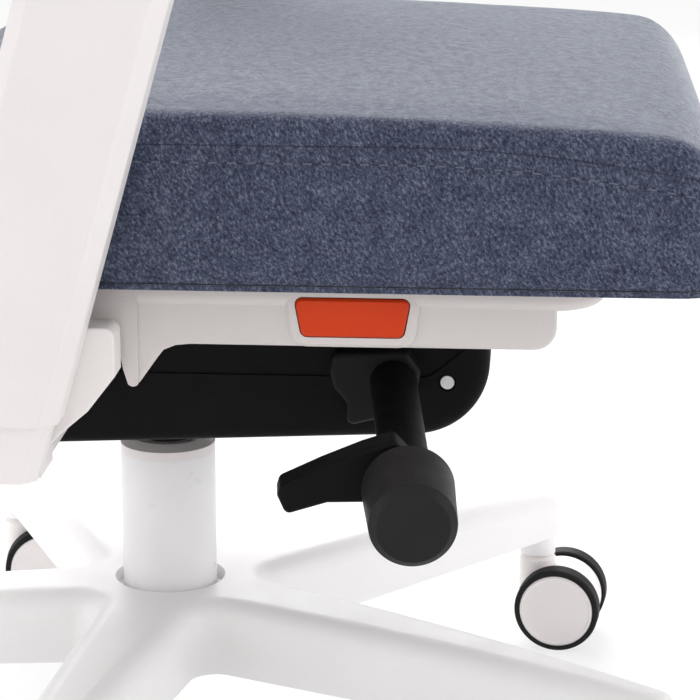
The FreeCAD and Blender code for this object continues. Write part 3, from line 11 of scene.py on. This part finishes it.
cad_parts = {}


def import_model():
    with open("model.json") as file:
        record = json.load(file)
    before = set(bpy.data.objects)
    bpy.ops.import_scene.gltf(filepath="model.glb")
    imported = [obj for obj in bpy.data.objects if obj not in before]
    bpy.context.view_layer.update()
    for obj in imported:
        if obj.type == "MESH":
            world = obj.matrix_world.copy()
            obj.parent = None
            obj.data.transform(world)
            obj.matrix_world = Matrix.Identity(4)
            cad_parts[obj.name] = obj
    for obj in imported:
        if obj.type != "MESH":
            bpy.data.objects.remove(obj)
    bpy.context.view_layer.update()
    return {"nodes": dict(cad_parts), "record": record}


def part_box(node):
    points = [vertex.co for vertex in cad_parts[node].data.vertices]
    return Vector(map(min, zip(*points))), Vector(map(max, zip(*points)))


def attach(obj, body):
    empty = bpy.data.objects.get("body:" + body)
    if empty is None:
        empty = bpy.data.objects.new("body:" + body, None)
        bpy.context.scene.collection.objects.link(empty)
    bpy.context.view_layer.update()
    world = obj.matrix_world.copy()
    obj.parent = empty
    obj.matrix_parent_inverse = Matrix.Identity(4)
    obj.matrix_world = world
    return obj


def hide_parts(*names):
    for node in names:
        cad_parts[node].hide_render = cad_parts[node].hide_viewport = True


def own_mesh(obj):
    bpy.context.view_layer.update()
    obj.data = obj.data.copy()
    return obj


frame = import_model()
nodes = frame["nodes"]
scene = bpy.context.scene
scene.view_settings.view_transform = "Standard"

# All lengths are in metres

# Materials
NOISE_LOW, NOISE_HIGH = 0.3, 0.7  # Most of a noise lies between these, so colour and gloss are spread over them
MIX_SHARE, MIX_FIRST, MIX_SECOND, MIX_RESULT = 0, 6, 7, 2  # Colour sockets of the mix node, whose names repeat


class Shader:
    """A material's node tree with short calls for the nodes used here."""

    def __init__(self, name):
        self.material = bpy.data.materials.new(name)
        self.material.use_nodes = True
        self.tree = self.material.node_tree
        self.surface = self.tree.nodes["Principled BSDF"]
        self.place = self.add("ShaderNodeTexCoord").outputs["Object"]

    def add(self, kind, **settings):
        node = self.tree.nodes.new(kind)
        for name, value in settings.items():
            setattr(node, name, value)
        return node

    def join(self, source, target):
        self.tree.links.new(source, target)

    def set(self, **values):
        """Plain values on the shader's own sockets; underscores stand for spaces."""
        for name, value in values.items():
            self.surface.inputs[name.replace("_", " ")].default_value = value

    def drawn_out(self, stretch, turn=(0, 0, 0)):
        """Coordinates in which a pattern is stretched along axes turned by some degrees."""
        node = self.add("ShaderNodeMapping", vector_type="TEXTURE")
        node.inputs["Scale"].default_value = stretch
        node.inputs["Rotation"].default_value = [math.radians(angle) for angle in turn]
        self.join(self.place, node.inputs["Vector"])
        return node.outputs["Vector"]

    def noise(self, scale, detail, rough, vector=None):
        node = self.add("ShaderNodeTexNoise")
        for name, value in (("Scale", scale), ("Detail", detail), ("Roughness", rough)):
            node.inputs[name].default_value = value
        self.join(vector or self.place, node.inputs["Vector"])
        return node.outputs["Fac"]

    def cells(self, scale, feature="F1"):
        node = self.add("ShaderNodeTexVoronoi", feature=feature)
        node.inputs["Scale"].default_value = scale
        self.join(self.place, node.inputs["Vector"])
        return node.outputs["Distance"]

    def math(self, operation, first, second=0.0):
        node = self.add("ShaderNodeMath", operation=operation)
        for socket, value in zip(node.inputs, (first, second)):
            if isinstance(value, (int, float)):
                socket.default_value = value
            else:
                self.join(value, socket)
        return node.outputs["Value"]

    def sum_of(self, *shares):
        """The sum of some values, each times its share."""
        terms = [self.math("MULTIPLY", value, share) for value, share in shares]
        total = terms[0]
        for term in terms[1:]:
            total = self.math("ADD", total, term)
        return total

    def between(self, value, low, high, out_low, out_high):
        """A value's range from low to high, drawn out to another range."""
        node = self.add("ShaderNodeMapRange", clamp=True)
        numbers = {"From Min": low, "From Max": high, "To Min": out_low, "To Max": out_high}
        for name, number in numbers.items():
            node.inputs[name].default_value = number
        self.join(value, node.inputs["Value"])
        return node.outputs["Result"]

    def ramp(self, value, *stops):
        node = self.add("ShaderNodeValToRGB")
        band = node.color_ramp
        while len(band.elements) < len(stops):
            band.elements.new(0.5)
        for element, (place, colour) in zip(band.elements, stops):
            element.position = place
            element.color = (*colour, 1)
        self.join(value, node.inputs["Fac"])
        return node.outputs["Color"]

    def covered(self, share, under, over):
        """A colour socket covered in part by a plain colour."""
        node = self.add("ShaderNodeMix", data_type="RGBA")
        self.join(share, node.inputs[MIX_SHARE])
        self.join(under, node.inputs[MIX_FIRST])
        node.inputs[MIX_SECOND].default_value = (*over, 1)
        return node.outputs[MIX_RESULT]

    def distance_to(self, line):
        """How far a point of the cloth lies from a sewn line."""
        attribute = self.add("ShaderNodeAttribute", attribute_name=line)
        return self.math("ABSOLUTE", attribute.outputs["Fac"])

    def colour(self, socket):
        self.join(socket, self.surface.inputs["Base Color"])

    def tones(self, noise, dark, light):
        """Colour that follows a noise."""
        self.colour(self.ramp(noise, (NOISE_LOW, dark), (NOISE_HIGH, light)))

    def gloss(self, noise, low, high):
        """Roughness that follows a noise."""
        self.join(self.between(noise, NOISE_LOW, NOISE_HIGH, low, high), self.surface.inputs["Roughness"])

    def bump(self, height, strength, distance):
        node = self.add("ShaderNodeBump")
        node.inputs["Strength"].default_value = strength
        node.inputs["Distance"].default_value = distance
        self.join(height, node.inputs["Height"])
        self.join(node.outputs["Normal"], self.surface.inputs["Normal"])


def moulded(name, dark, light, rough, grain, depth, strength, shine):
    """Moulded plastic: faint flow marks in the colour, spark-eroded grain in the bump."""
    shader = Shader(name)
    shader.set(Specular_IOR_Level=shine)
    flow = shader.noise(scale=14, detail=3, rough=0.55)
    specks = shader.noise(scale=grain * 0.35, detail=2, rough=0.6)
    shader.tones(shader.sum_of((flow, 0.75), (specks, 0.25)), dark, light)
    shader.gloss(shader.noise(scale=60, detail=4, rough=0.6), rough - 0.06, rough + 0.06)
    fine = shader.noise(scale=grain, detail=3, rough=0.6)
    coarse = shader.math("MULTIPLY", shader.cells(scale=grain * 0.6), 0.5)
    shader.bump(shader.math("ADD", fine, coarse), strength, depth)
    return shader.material


def enamel(name, dark, light, rough, shine):
    """Sprayed enamel on steel: orange peel and slight changes of gloss."""
    shader = Shader(name)
    shader.set(Specular_IOR_Level=shine)
    shader.tones(shader.noise(scale=22, detail=3, rough=0.5), dark, light)
    shader.gloss(shader.noise(scale=90, detail=3, rough=0.5), rough - 0.05, rough + 0.05)
    shader.bump(shader.noise(scale=420, detail=1, rough=0.4), strength=0.12, distance=0.0002)
    shader.set(Coat_Weight=0.15, Coat_Roughness=0.2)
    return shader.material


def steel(name):
    """Zinc-plated steel with fine brush lines."""
    shader = Shader(name)
    lines = shader.noise(scale=900, detail=3, rough=0.6, vector=shader.drawn_out((1, 1, 0.07)))
    shader.tones(lines, (0.5, 0.5, 0.5), (0.72, 0.72, 0.71))
    shader.gloss(lines, 0.26, 0.42)
    shader.bump(lines, strength=0.08, distance=0.0002)
    shader.set(Metallic=1.0)
    return shader.material


def rubber(name, dark, light, rough, grain):
    """Soft rubber or foam skin: matte, slightly dusty, finely pebbled."""
    shader = Shader(name)
    shader.set(Specular_IOR_Level=0.15)
    dust = shader.noise(scale=35, detail=5, rough=0.65)
    shader.colour(shader.ramp(dust, (0.3, dark), (0.75, light)))
    shader.gloss(dust, rough - 0.07, rough + 0.05)
    shader.bump(shader.cells(grain, feature="SMOOTH_F1"), strength=0.35, distance=0.0003)
    return shader.material


YARN_TONES = (
    (0.38, (0.011, 0.014, 0.034)),
    (0.47, (0.038, 0.048, 0.086)),
    (0.53, (0.068, 0.081, 0.129)),
    (0.64, (0.185, 0.205, 0.270)),
)
# Painted shade: a dark colour laid along the creases of the seam, the stitch row and the hem
SEAM_SHADOW_TONE = (0.012, 0.014, 0.028)
SEAM_SHADOW_EDGE = (0.0001, 0.0005)  # Distances from a seam or row between which its painted shadow line fades
HEM_SHADOW_EDGE = (0.0003, 0.0009)
SEAM_SHADE, ROW_SHADE, HEM_SHADE = 0.65, 0.6, 0.8
PINCH_WIDTH = 0.0016


def heather(name):
    """Heathered woven fabric: slanted flecks of dark and pale yarn, and painted shade lines in the creases at
    seam, stitch row and hem.
    """
    shader = Shader(name)
    slant = shader.drawn_out((1, 1, 1.65), (-28, 10, 0))
    flecks = shader.noise(scale=860, detail=4, rough=0.64, vector=slant)
    yarn = shader.noise(scale=2100, detail=2, rough=0.6, vector=slant)
    clouds = shader.noise(scale=110, detail=3, rough=0.6)
    mixed = shader.sum_of((flecks, 0.60), (yarn, 0.28), (clouds, 0.12))
    cloth = shader.ramp(mixed, *YARN_TONES)
    seam, hem, row = (shader.distance_to(line) for line in ("seam", "hem", "row"))
    # Painted shade: the cloth is darkened near the seam, hem and stitch row to stand in for crease shadow
    shade = shader.math("MAXIMUM", shader.between(seam, *SEAM_SHADOW_EDGE, SEAM_SHADE, 0.0),
                        shader.between(hem, *HEM_SHADOW_EDGE, HEM_SHADE, 0.0))
    shade = shader.math("MAXIMUM", shade, shader.between(row, *SEAM_SHADOW_EDGE, ROW_SHADE, 0.0))
    shader.colour(shader.covered(shade, cloth, SEAM_SHADOW_TONE))
    shader.gloss(flecks, 0.82, 0.95)
    weave = shader.math("ADD", flecks, shader.math("MULTIPLY", yarn, 0.6))
    pinch = shader.between(shader.math("MINIMUM", seam, hem), 0.0, PINCH_WIDTH, -1.0, 0.0)
    shader.bump(shader.math("ADD", weave, pinch), strength=0.55, distance=0.0009)
    shader.set(Specular_IOR_Level=0.3, Sheen_Roughness=0.3, Sheen_Tint=(0.92, 0.95, 1.0, 1))
    nap = shader.sum_of((shader.noise(scale=230, detail=4, rough=0.65), 0.6), (mixed, 0.4))
    shader.join(shader.between(nap, 0.40, 0.58, 0.62, 1.0), shader.surface.inputs["Sheen Weight"])
    return shader.material


def thread(name):
    """Twisted sewing thread."""
    shader = Shader(name)
    twist = shader.noise(scale=2600, detail=2, rough=0.6, vector=shader.drawn_out((1, 2.5, 1), (35, 0, 0)))
    shader.tones(twist, (0.055, 0.066, 0.105), (0.15, 0.17, 0.235))
    shader.gloss(twist, 0.6, 0.8)
    shader.bump(twist, strength=0.4, distance=0.0002)
    shader.set(Sheen_Weight=0.3)
    return shader.material


# Looks by material slot
LOOKS = {
    "white_plastic": moulded(
        "white_moulded", (0.81, 0.765, 0.76), (0.86, 0.815, 0.81),
        rough=0.42, grain=2200, depth=0.00012, strength=0.12, shine=0.35),
    "white_enamel": enamel(
        "white_sprayed", (0.84, 0.825, 0.84), (0.88, 0.865, 0.88), rough=0.32, shine=0.4),
    "hood_plastic": moulded(
        "hood_moulded", (0.86, 0.81, 0.80), (0.90, 0.855, 0.845),
        rough=0.4, grain=2000, depth=0.00012, strength=0.12, shine=0.35),
    "black_plastic": moulded(
        "black_moulded", (0.0035, 0.0035, 0.0037), (0.0062, 0.0062, 0.0065),
        rough=0.5, grain=1500, depth=0.0003, strength=0.3, shine=0.09),
    "black_enamel": enamel(
        "black_sprayed", (0.006, 0.006, 0.0065), (0.012, 0.012, 0.0125), rough=0.3, shine=0.3),
    "orange_plastic": moulded(
        "orange_moulded", (0.58, 0.037, 0.0035), (0.67, 0.051, 0.006),
        rough=0.38, grain=2400, depth=0.0001, strength=0.1, shine=0.2),
    "tread_rubber": rubber(
        "tread_rubber", (0.008, 0.008, 0.0085), (0.020, 0.020, 0.021), rough=0.62, grain=900),
    "pad_rubber": rubber(
        "pad_skin", (0.010, 0.010, 0.011), (0.022, 0.022, 0.024), rough=0.6, grain=1100),
    "steel": steel("plated_steel"),
    "woven_fabric": heather("heather_fabric"),
}
# Nodes whose tone differs from the others in their slot
OWN_LOOKS = {
    # Painted light: the base's white is lighter than the other white plastic to stand in for light reaching it
    # under the seat
    "star_base": moulded(
        "base_moulded_painted_light", (0.88, 0.865, 0.865), (0.92, 0.905, 0.905),
        rough=0.4, grain=2200, depth=0.00012, strength=0.12, shine=0.35),
    # Painted shade: the pan's white is darker and greyer to stand in for the shade under the cushion's overhang
    "seat_pan": moulded(
        "pan_moulded_painted_shade", (0.64, 0.595, 0.58), (0.69, 0.645, 0.63),
        rough=0.45, grain=2000, depth=0.00015, strength=0.15, shine=0.3),
    "lever_boss": moulded(
        "boss_moulded", (0.0052, 0.0052, 0.0056), (0.0095, 0.0095, 0.010),
        rough=0.46, grain=1500, depth=0.0003, strength=0.3, shine=0.16),
    "tension_knob": moulded(
        "knob_moulded", (0.010, 0.0098, 0.010), (0.017, 0.0165, 0.017),
        rough=0.52, grain=1300, depth=0.0003, strength=0.35, shine=0.2),
}
THREAD = thread("sewing_thread")

for part in frame["record"]["subparts"]:
    piece = nodes[part["node"]]
    piece.data.materials.clear()
    piece.data.materials.append(OWN_LOOKS.get(part["node"], LOOKS[part["material_slot"]]))


# Meshes
def linked(name, data):
    piece = bpy.data.objects.new(name, data)
    scene.collection.objects.link(piece)
    return piece


def evaluated(piece):
    """The piece's mesh with its modifiers applied, as a new mesh."""
    graph = bpy.context.evaluated_depsgraph_get()
    return bpy.data.meshes.new_from_object(piece.evaluated_get(graph))


def take(piece, mesh):
    """Give the piece a finished mesh and drop its modifiers."""
    piece.modifiers.clear()
    piece.data = mesh


def of_points(mesh, what):
    flat = np.empty(len(mesh.vertices) * 3)
    mesh.vertices.foreach_get(what, flat)
    return flat.reshape(-1, 3)


def places(mesh):
    return of_points(mesh, "co")


def normals(mesh):
    return of_points(mesh, "normal")


def put(mesh, points):
    mesh.vertices.foreach_set("co", points.ravel())
    mesh.update()


def shade_smooth(mesh):
    for polygon in mesh.polygons:
        polygon.use_smooth = True


def store(mesh, name, values):
    layer = mesh.attributes.new(name, "FLOAT", "POINT")
    layer.data.foreach_set("value", values.astype(np.float32))


def tree_of(piece):
    """Search tree of a piece's faces."""
    mesh = piece.data
    corners = [vertex.co for vertex in mesh.vertices]
    return BVHTree.FromPolygons(corners, [polygon.vertices for polygon in mesh.polygons])


def eased(mesh, values, rounds):
    """Values at a mesh's points, evened out with their neighbours some times over."""
    ends = np.empty(len(mesh.edges) * 2, dtype=np.int64)
    mesh.edges.foreach_get("vertices", ends)
    first, second = ends.reshape(-1, 2).T
    count = np.bincount(ends, minlength=len(values))
    columns = values.reshape(len(values), -1).T.copy()
    for _ in range(rounds):
        for column in columns:
            total = np.bincount(first, column[second], len(values))
            total += np.bincount(second, column[first], len(values))
            column[:] = 0.5 * column + 0.5 * total / np.maximum(count, 1)
    return columns.T.reshape(values.shape)


def tube(points, radius, sides, closed=False, flat=1.0, upright=Vector((0, 0, 1))):
    """Vertices and faces of a tube along points; flat squeezes it across its side direction."""
    count = len(points)
    vertices, faces = [], []
    for index, point in enumerate(points):
        before = points[index - 1] if index or closed else point
        after = points[(index + 1) % count] if index + 1 < count or closed else point
        ahead = (after - before).normalized()
        side = ahead.cross(upright)
        side = side.normalized() if side.length > 1e-4 else Vector((1, 0, 0))
        up = side.cross(ahead)
        for step in range(sides):
            turn = 2 * math.pi * step / sides
            across = side * (radius * flat * math.cos(turn))
            vertices.append(point + across + up * (radius * math.sin(turn)))
    last = count if closed else count - 1
    for index in range(last):
        here = index * sides
        there = (index + 1) % count * sides
        for step in range(sides):
            after = (step + 1) % sides
            faces.append((here + step, here + after, there + after, there + step))
    if not closed:
        faces.append(tuple(reversed(range(sides))))
        faces.append(tuple(range((count - 1) * sides, count * sides)))
    return vertices, faces


def mesh_of(name, chunks):
    """One object from many lists of vertices and faces."""
    vertices, faces = [], []
    for chunk_vertices, chunk_faces in chunks:
        start = len(vertices)
        vertices += chunk_vertices
        faces += [tuple(start + index for index in face) for face in chunk_faces]
    mesh = bpy.data.meshes.new(name)
    mesh.from_pydata([tuple(vertex) for vertex in vertices], [], faces)
    shade_smooth(mesh)
    mesh.update()
    return linked(name, mesh)


# Cushions and trim
LINES = ("seam", "row", "hem")
FAR = 1.0  # A distance at which a sewn line doesn't show
SKIN_VOXEL = 0.004
FILL_FRAMES = 20
FILL_SETTINGS = {
    "quality": 6,
    "mass": 0.3,
    "tension_stiffness": 20,
    "compression_stiffness": 20,
    "bending_stiffness": 2,
    "use_pressure": True,
    "uniform_pressure_force": 4.0,
    "vertex_group_mass": "held",
}
NORMAL_ROUNDS, SWELL_ROUNDS = 3, 30
TRIM_SIDES = 10


def swollen(node, name, held, cap):
    """A cushion blown up by at most cap from the CAD solid; the points picked by held stay where they are."""
    piece = linked(name, nodes[node].data.copy())
    remesh = piece.modifiers.new("Skin", "REMESH")
    remesh.mode = "VOXEL"
    remesh.voxel_size = SKIN_VOXEL
    take(piece, evaluated(piece))
    tree = tree_of(nodes[node])
    start = np.array([tree.find_nearest(Vector(point))[0] for point in places(piece.data)])
    put(piece.data, start)
    fixed = held(start)
    pinned = piece.vertex_groups.new(name="held")
    pinned.add([int(index) for index in np.nonzero(fixed)[0]], 1.0, "REPLACE")
    cloth = piece.modifiers.new("Fill", "CLOTH")
    for setting, value in FILL_SETTINGS.items():
        setattr(cloth.settings, setting, value)
    cloth.settings.effector_weights.gravity = 0
    for step in range(1, FILL_FRAMES + 1):
        scene.frame_set(step)
    moved = places(evaluated(piece)) - start
    scene.frame_set(1)
    piece.modifiers.clear()
    outward = eased(piece.data, normals(piece.data), NORMAL_ROUNDS)
    swell = np.clip((moved * outward).sum(axis=1), 0, cap)
    swell = np.where(fixed, 0, eased(piece.data, swell, SWELL_ROUNDS))
    put(piece.data, start + outward * swell[:, None])
    fine = piece.modifiers.new("Fine", "SUBSURF")
    fine.levels = 1
    take(piece, evaluated(piece))
    shade_smooth(piece.data)
    return piece


def dress_cushion(piece, node, body):
    piece.data.materials.clear()
    piece.data.materials.append(LOOKS["woven_fabric"])
    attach(piece, body)
    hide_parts(node)


def finish_trim(piece, body, material):
    piece.data.materials.append(material)
    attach(piece, body)


def plain_cloth(piece):
    """Mark a fabric piece as having none of the sewn lines."""
    for line in LINES:
        store(piece.data, line, np.full(len(piece.data.vertices), FAR))


# Seat cushion
SEAT_LOW, SEAT_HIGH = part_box("seat_cushion")
SEAT_FRONT, SEAT_REAR, SEAT_BASE = SEAT_LOW[1], SEAT_HIGH[1], SEAT_LOW[2]
SEAT_SWELL = 0.002
SEAT_HELD = 0.003  # Height of the strip on the pan that isn't blown up

SEAM_RISE, STITCH_DROP, HEM_RISE = 0.0650, 0.0076, 0.0027
DIP_START, DIP_LENGTH, DIP_DROP = -0.13, 0.131, 0.0126
CORNER_LENGTH, CORNER_DROP = 0.018, 0.05
REAR_LENGTH, REAR_DROP = 0.045, 0.010

SIDE_SLOPE = 0.75  # A face whose normal rises less than this belongs to the cushion's side
SEAM_FROM = 0.15  # The seam's line is drawn on the two sides only, this far from the middle
SEAM_PULL, ROW_PULL, PULL_WIDTH = 0.0008, 0.0004, 0.0026

STITCH_RADIUS, STITCH_PITCH, STITCH_LENGTH = 0.00034, 0.0082, 0.0038
STITCH_SHARES = (0.0, 0.15, 0.5, 0.85, 1.0)
STITCH_BOW, STITCH_SINK = 0.8, 0.35  # In radii
STITCH_SIDES = 6
ROW_REAR_GAP, ROW_HALF = 0.022, 0.19
RAY_START = 0.3

HEM_POINTS, HEM_REACH, HEM_LEVEL = 360, 0.6, 0.004
HEM_CLEAR, HEM_SINK, HEM_FLAT = 0.00005, 0.0002, 0.62


def seam_height(y):
    """Height of the upper seam along the cushion's side; it falls to the hem at the front corner."""
    dip = np.clip(DIP_START - y, 0, None) / DIP_LENGTH
    corner = np.clip(SEAT_FRONT + CORNER_LENGTH - y, 0, None) / CORNER_LENGTH
    rear = np.clip(y - SEAT_REAR + REAR_LENGTH, 0, None) / REAR_LENGTH
    return SEAT_BASE + SEAM_RISE - DIP_DROP * dip ** 2 - CORNER_DROP * corner ** 2 - REAR_DROP * rear ** 2


def row_height(y):
    return float(seam_height(y)) - STITCH_DROP


def seat_cushion():
    cushion = swollen("seat_cushion", "seat_pad", lambda at: at[:, 2] < SEAT_BASE + SEAT_HELD, SEAT_SWELL)
    at = places(cushion.data)
    normal = normals(cushion.data)
    sideways = np.abs(normal[:, 2]) < SIDE_SLOPE
    seam = at[:, 2] - seam_height(at[:, 1])
    row = seam + STITCH_DROP
    pull = SEAM_PULL * np.exp(-((seam / PULL_WIDTH) ** 2)) * sideways
    pull += ROW_PULL * np.exp(-((row / PULL_WIDTH) ** 2)) * sideways
    at -= normal * pull[:, None]
    at[:, 2] = np.maximum(at[:, 2], SEAT_BASE)
    put(cushion.data, at)
    store(cushion.data, "seam", np.where(sideways & (np.abs(at[:, 0]) > SEAM_FROM), seam, FAR))
    store(cushion.data, "row", np.where(sideways, row, FAR))
    store(cushion.data, "hem", at[:, 2] - SEAT_BASE - HEM_RISE)
    dress_cushion(cushion, "seat_cushion", "seat")
    return cushion


def stitch(start, end, out):
    """One visible stitch: a short thread that dips into the cloth at both ends."""
    points = []
    for share in STITCH_SHARES:
        lift = STITCH_RADIUS * STITCH_BOW * math.sin(math.pi * share) - STITCH_RADIUS * STITCH_SINK
        points.append(start.lerp(end, share) + out * lift)
    return tube(points, STITCH_RADIUS, STITCH_SIDES)


def stitch_row(tree, place, last, ray_at):
    """Stitches on the cloth from a place to the last one; ray_at gives the ray that finds the cloth."""
    stitches = []
    while place < last:
        start, out, _, _ = tree.ray_cast(*ray_at(place))
        end, _, _, _ = tree.ray_cast(*ray_at(place + STITCH_LENGTH))
        if start and end:
            stitches.append(stitch(start, end, out))
        place += STITCH_PITCH
    return stitches


def seat_stitching(cushion):
    """Rows of stitches under the upper seam, along both sides and across the rear."""
    tree = tree_of(cushion)
    chunks = []
    for side in (-1, 1):
        inward = Vector((-side, 0, 0))
        chunks += stitch_row(tree, SEAT_FRONT + CORNER_LENGTH, SEAT_REAR - ROW_REAR_GAP,
                             lambda y: (Vector((side * RAY_START, y, row_height(y))), inward))
    rear_height, forward = row_height(SEAT_REAR), Vector((0, -1, 0))
    chunks += stitch_row(tree, -ROW_HALF, ROW_HALF,
                         lambda x: (Vector((x, RAY_START, rear_height)), forward))
    finish_trim(mesh_of("seat_stitching", chunks), "seat", THREAD)


def seat_hem(cushion):
    """Narrow turned hem round the cushion's lower edge, found by rays towards the cushion's middle."""
    tree = tree_of(cushion)
    centre = Vector((0, (SEAT_FRONT + SEAT_REAR) / 2, SEAT_BASE + HEM_LEVEL))
    loop = []
    for step in range(HEM_POINTS):
        turn = 2 * math.pi * step / HEM_POINTS
        out = Vector((math.cos(turn), math.sin(turn), 0))
        hit, normal, _, _ = tree.ray_cast(centre + out * HEM_REACH, -out)
        if hit:
            loop.append(Vector((hit.x, hit.y, SEAT_BASE + HEM_RISE / 2 + HEM_CLEAR)) - normal * HEM_SINK)
    hem = mesh_of("seat_hem", [tube(loop, HEM_RISE / 2, TRIM_SIDES, True, HEM_FLAT)])
    plain_cloth(hem)
    finish_trim(hem, "seat", LOOKS["woven_fabric"])


pad = seat_cushion()
seat_stitching(pad)
seat_hem(pad)

# Back cushion
BACK_SWELL = 0.004
SHELL_REACH = 0.0035  # Points of the cushion this near to the shell aren't blown up
RIM_SLOPE = 0.3
PIPING_POINTS, PIPING_ROUNDS, PIPING_RADIUS = 220, 4, 0.0021


def on_shell(at):
    """The points of the rear face, which lies against the shell."""
    tree = tree_of(nodes["back_shell"])
    return np.array([tree.find_nearest(Vector(point), SHELL_REACH)[0] is not None for point in at])


def back_cushion():
    cushion = swollen("back_cushion", "back_pad", on_shell, BACK_SWELL)
    plain_cloth(cushion)
    dress_cushion(cushion, "back_cushion", "back")
    return cushion


def back_piping(cushion):
    """Piping sewn round the back cushion's rim."""
    at = places(cushion.data)
    rim = at[np.abs(normals(cushion.data)[:, 1]) < RIM_SLOPE]
    middle = (at.max(axis=0) + at.min(axis=0)) / 2
    turn = np.arctan2(rim[:, 2] - middle[2], rim[:, 0] - middle[0])
    sector = ((turn + math.pi) / (2 * math.pi) * PIPING_POINTS).astype(int) % PIPING_POINTS
    filled = [step for step in range(PIPING_POINTS) if (sector == step).any()]
    loop = np.array([rim[sector == step].mean(axis=0) for step in filled])
    for _ in range(PIPING_ROUNDS):
        loop = (np.roll(loop, 1, axis=0) + 2 * loop + np.roll(loop, -1, axis=0)) / 4
    points = [Vector(point) for point in loop]
    piping = mesh_of("back_piping", [tube(points, PIPING_RADIUS, TRIM_SIDES, True, upright=Vector((0, 1, 0)))])
    plain_cloth(piping)
    finish_trim(piping, "back", LOOKS["woven_fabric"])


back_piping(back_cushion())


def pressed_spring(node, name, body):
    """A copy of the CAD spring on its own mesh, attached to a body in place of the CAD part."""
    spring = linked(name, nodes[node].data.copy())
    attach(spring, body)
    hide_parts(node)
    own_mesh(spring)


def springs():
    pressed_spring("tilt_springs", "tilt_coils", "carriage")
    for name in ("right", "left"):
        pressed_spring(f"press_spring_{name}", f"press_coil_{name}", "seat")


springs()

# Stage, light and camera
FLOOR_HALF = 12
FLOOR_GLOW = 0.72  # Share of the floor's own white where the camera or a gloss sees it
WORLD_LIGHT = 0.88
WHITE = (1, 1, 1, 1)

# Name, place, target, size and power in watts
LAMPS = (
    ("top_light", (0.5, 0.2, 2.4), (0, 0, 0.35), 1.6, 20),
    ("far_light", (2.4, 0.3, 1.25), (0, 0, 0.2), 1.8, 18),
    ("high_light", (1.9, 0.1, 1.95), (0, -0.05, 0.4), 1.4, 32),
    ("rear_light", (-0.9, 2.4, 1.0), (0, 0, 0.15), 1.6, 9),
    ("front_light", (-0.4, -2.5, 1.0), (0, 0, 0.15), 1.6, 13),
)

SENSOR_MM = 36
FOCAL_PIXELS, PHOTO_PIXELS = 2600, 700
CAMERA_PLACE = (-1.3114, -0.1930, 0.5720)
CAMERA_AHEAD = (0.9655, 0.0709, -0.2504)
CAMERA_FAR = 60


def stage():
    """A pale floor that looks white to the camera."""
    half = FLOOR_HALF
    mesh = bpy.data.meshes.new("floor")
    corners = [(-half, -half, 0), (half, -half, 0), (half, half, 0), (-half, half, 0)]
    mesh.from_pydata(corners, [], [(0, 1, 2, 3)])
    floor = linked("floor", mesh)
    shader = Shader("pale_floor")
    shader.set(Roughness=0.9)
    shader.tones(shader.noise(scale=3, detail=2, rough=0.5), (0.86, 0.86, 0.86), (0.88, 0.88, 0.88))
    glow = shader.add("ShaderNodeEmission")
    glow.inputs["Strength"].default_value = 1.0
    path = shader.add("ShaderNodeLightPath")
    seen = shader.math("MAXIMUM", path.outputs["Is Camera Ray"], path.outputs["Is Glossy Ray"])
    seen = shader.math("MAXIMUM", seen, path.outputs["Is Transmission Ray"])
    mixer = shader.add("ShaderNodeMixShader")
    shader.join(shader.math("MULTIPLY", seen, FLOOR_GLOW), mixer.inputs["Fac"])
    shader.join(shader.surface.outputs["BSDF"], mixer.inputs[1])
    shader.join(glow.outputs["Emission"], mixer.inputs[2])
    shader.join(mixer.outputs["Shader"], shader.tree.nodes["Material Output"].inputs["Surface"])
    floor.data.materials.append(shader.material)


def world():
    """Soft light from all round, and plain white behind the chair."""
    room = bpy.data.worlds.new("studio")
    scene.world = room
    room.use_nodes = True
    tree = room.node_tree
    tree.nodes.clear()
    path = tree.nodes.new("ShaderNodeLightPath")
    mixer = tree.nodes.new("ShaderNodeMixShader")
    output = tree.nodes.new("ShaderNodeOutputWorld")
    for socket, strength in ((1, WORLD_LIGHT), (2, 1.0)):
        shade = tree.nodes.new("ShaderNodeBackground")
        shade.inputs["Color"].default_value = WHITE
        shade.inputs["Strength"].default_value = strength
        tree.links.new(shade.outputs["Background"], mixer.inputs[socket])
    tree.links.new(path.outputs["Is Camera Ray"], mixer.inputs["Fac"])
    tree.links.new(mixer.outputs["Shader"], output.inputs["Surface"])


def facing(direction):
    """Rotation of a lamp or camera that looks in a direction."""
    return direction.to_track_quat("-Z", "Y").to_euler()


def lamp(name, place, target, size, power):
    data = bpy.data.lights.new(name, "AREA")
    data.shape = "DISK"
    data.size = size
    data.energy = power
    light = linked(name, data)
    light.location = place
    light.rotation_euler = facing(Vector(target) - Vector(place))


def camera():
    data = bpy.data.cameras.new("photo_camera")
    data.sensor_width = SENSOR_MM
    data.lens = SENSOR_MM * FOCAL_PIXELS / PHOTO_PIXELS
    data.clip_end = CAMERA_FAR
    view = linked("photo_camera", data)
    view.location = CAMERA_PLACE
    view.rotation_euler = facing(Vector(CAMERA_AHEAD))
    scene.camera = view


stage()
world()
for settings in LAMPS:
    lamp(*settings)
camera()
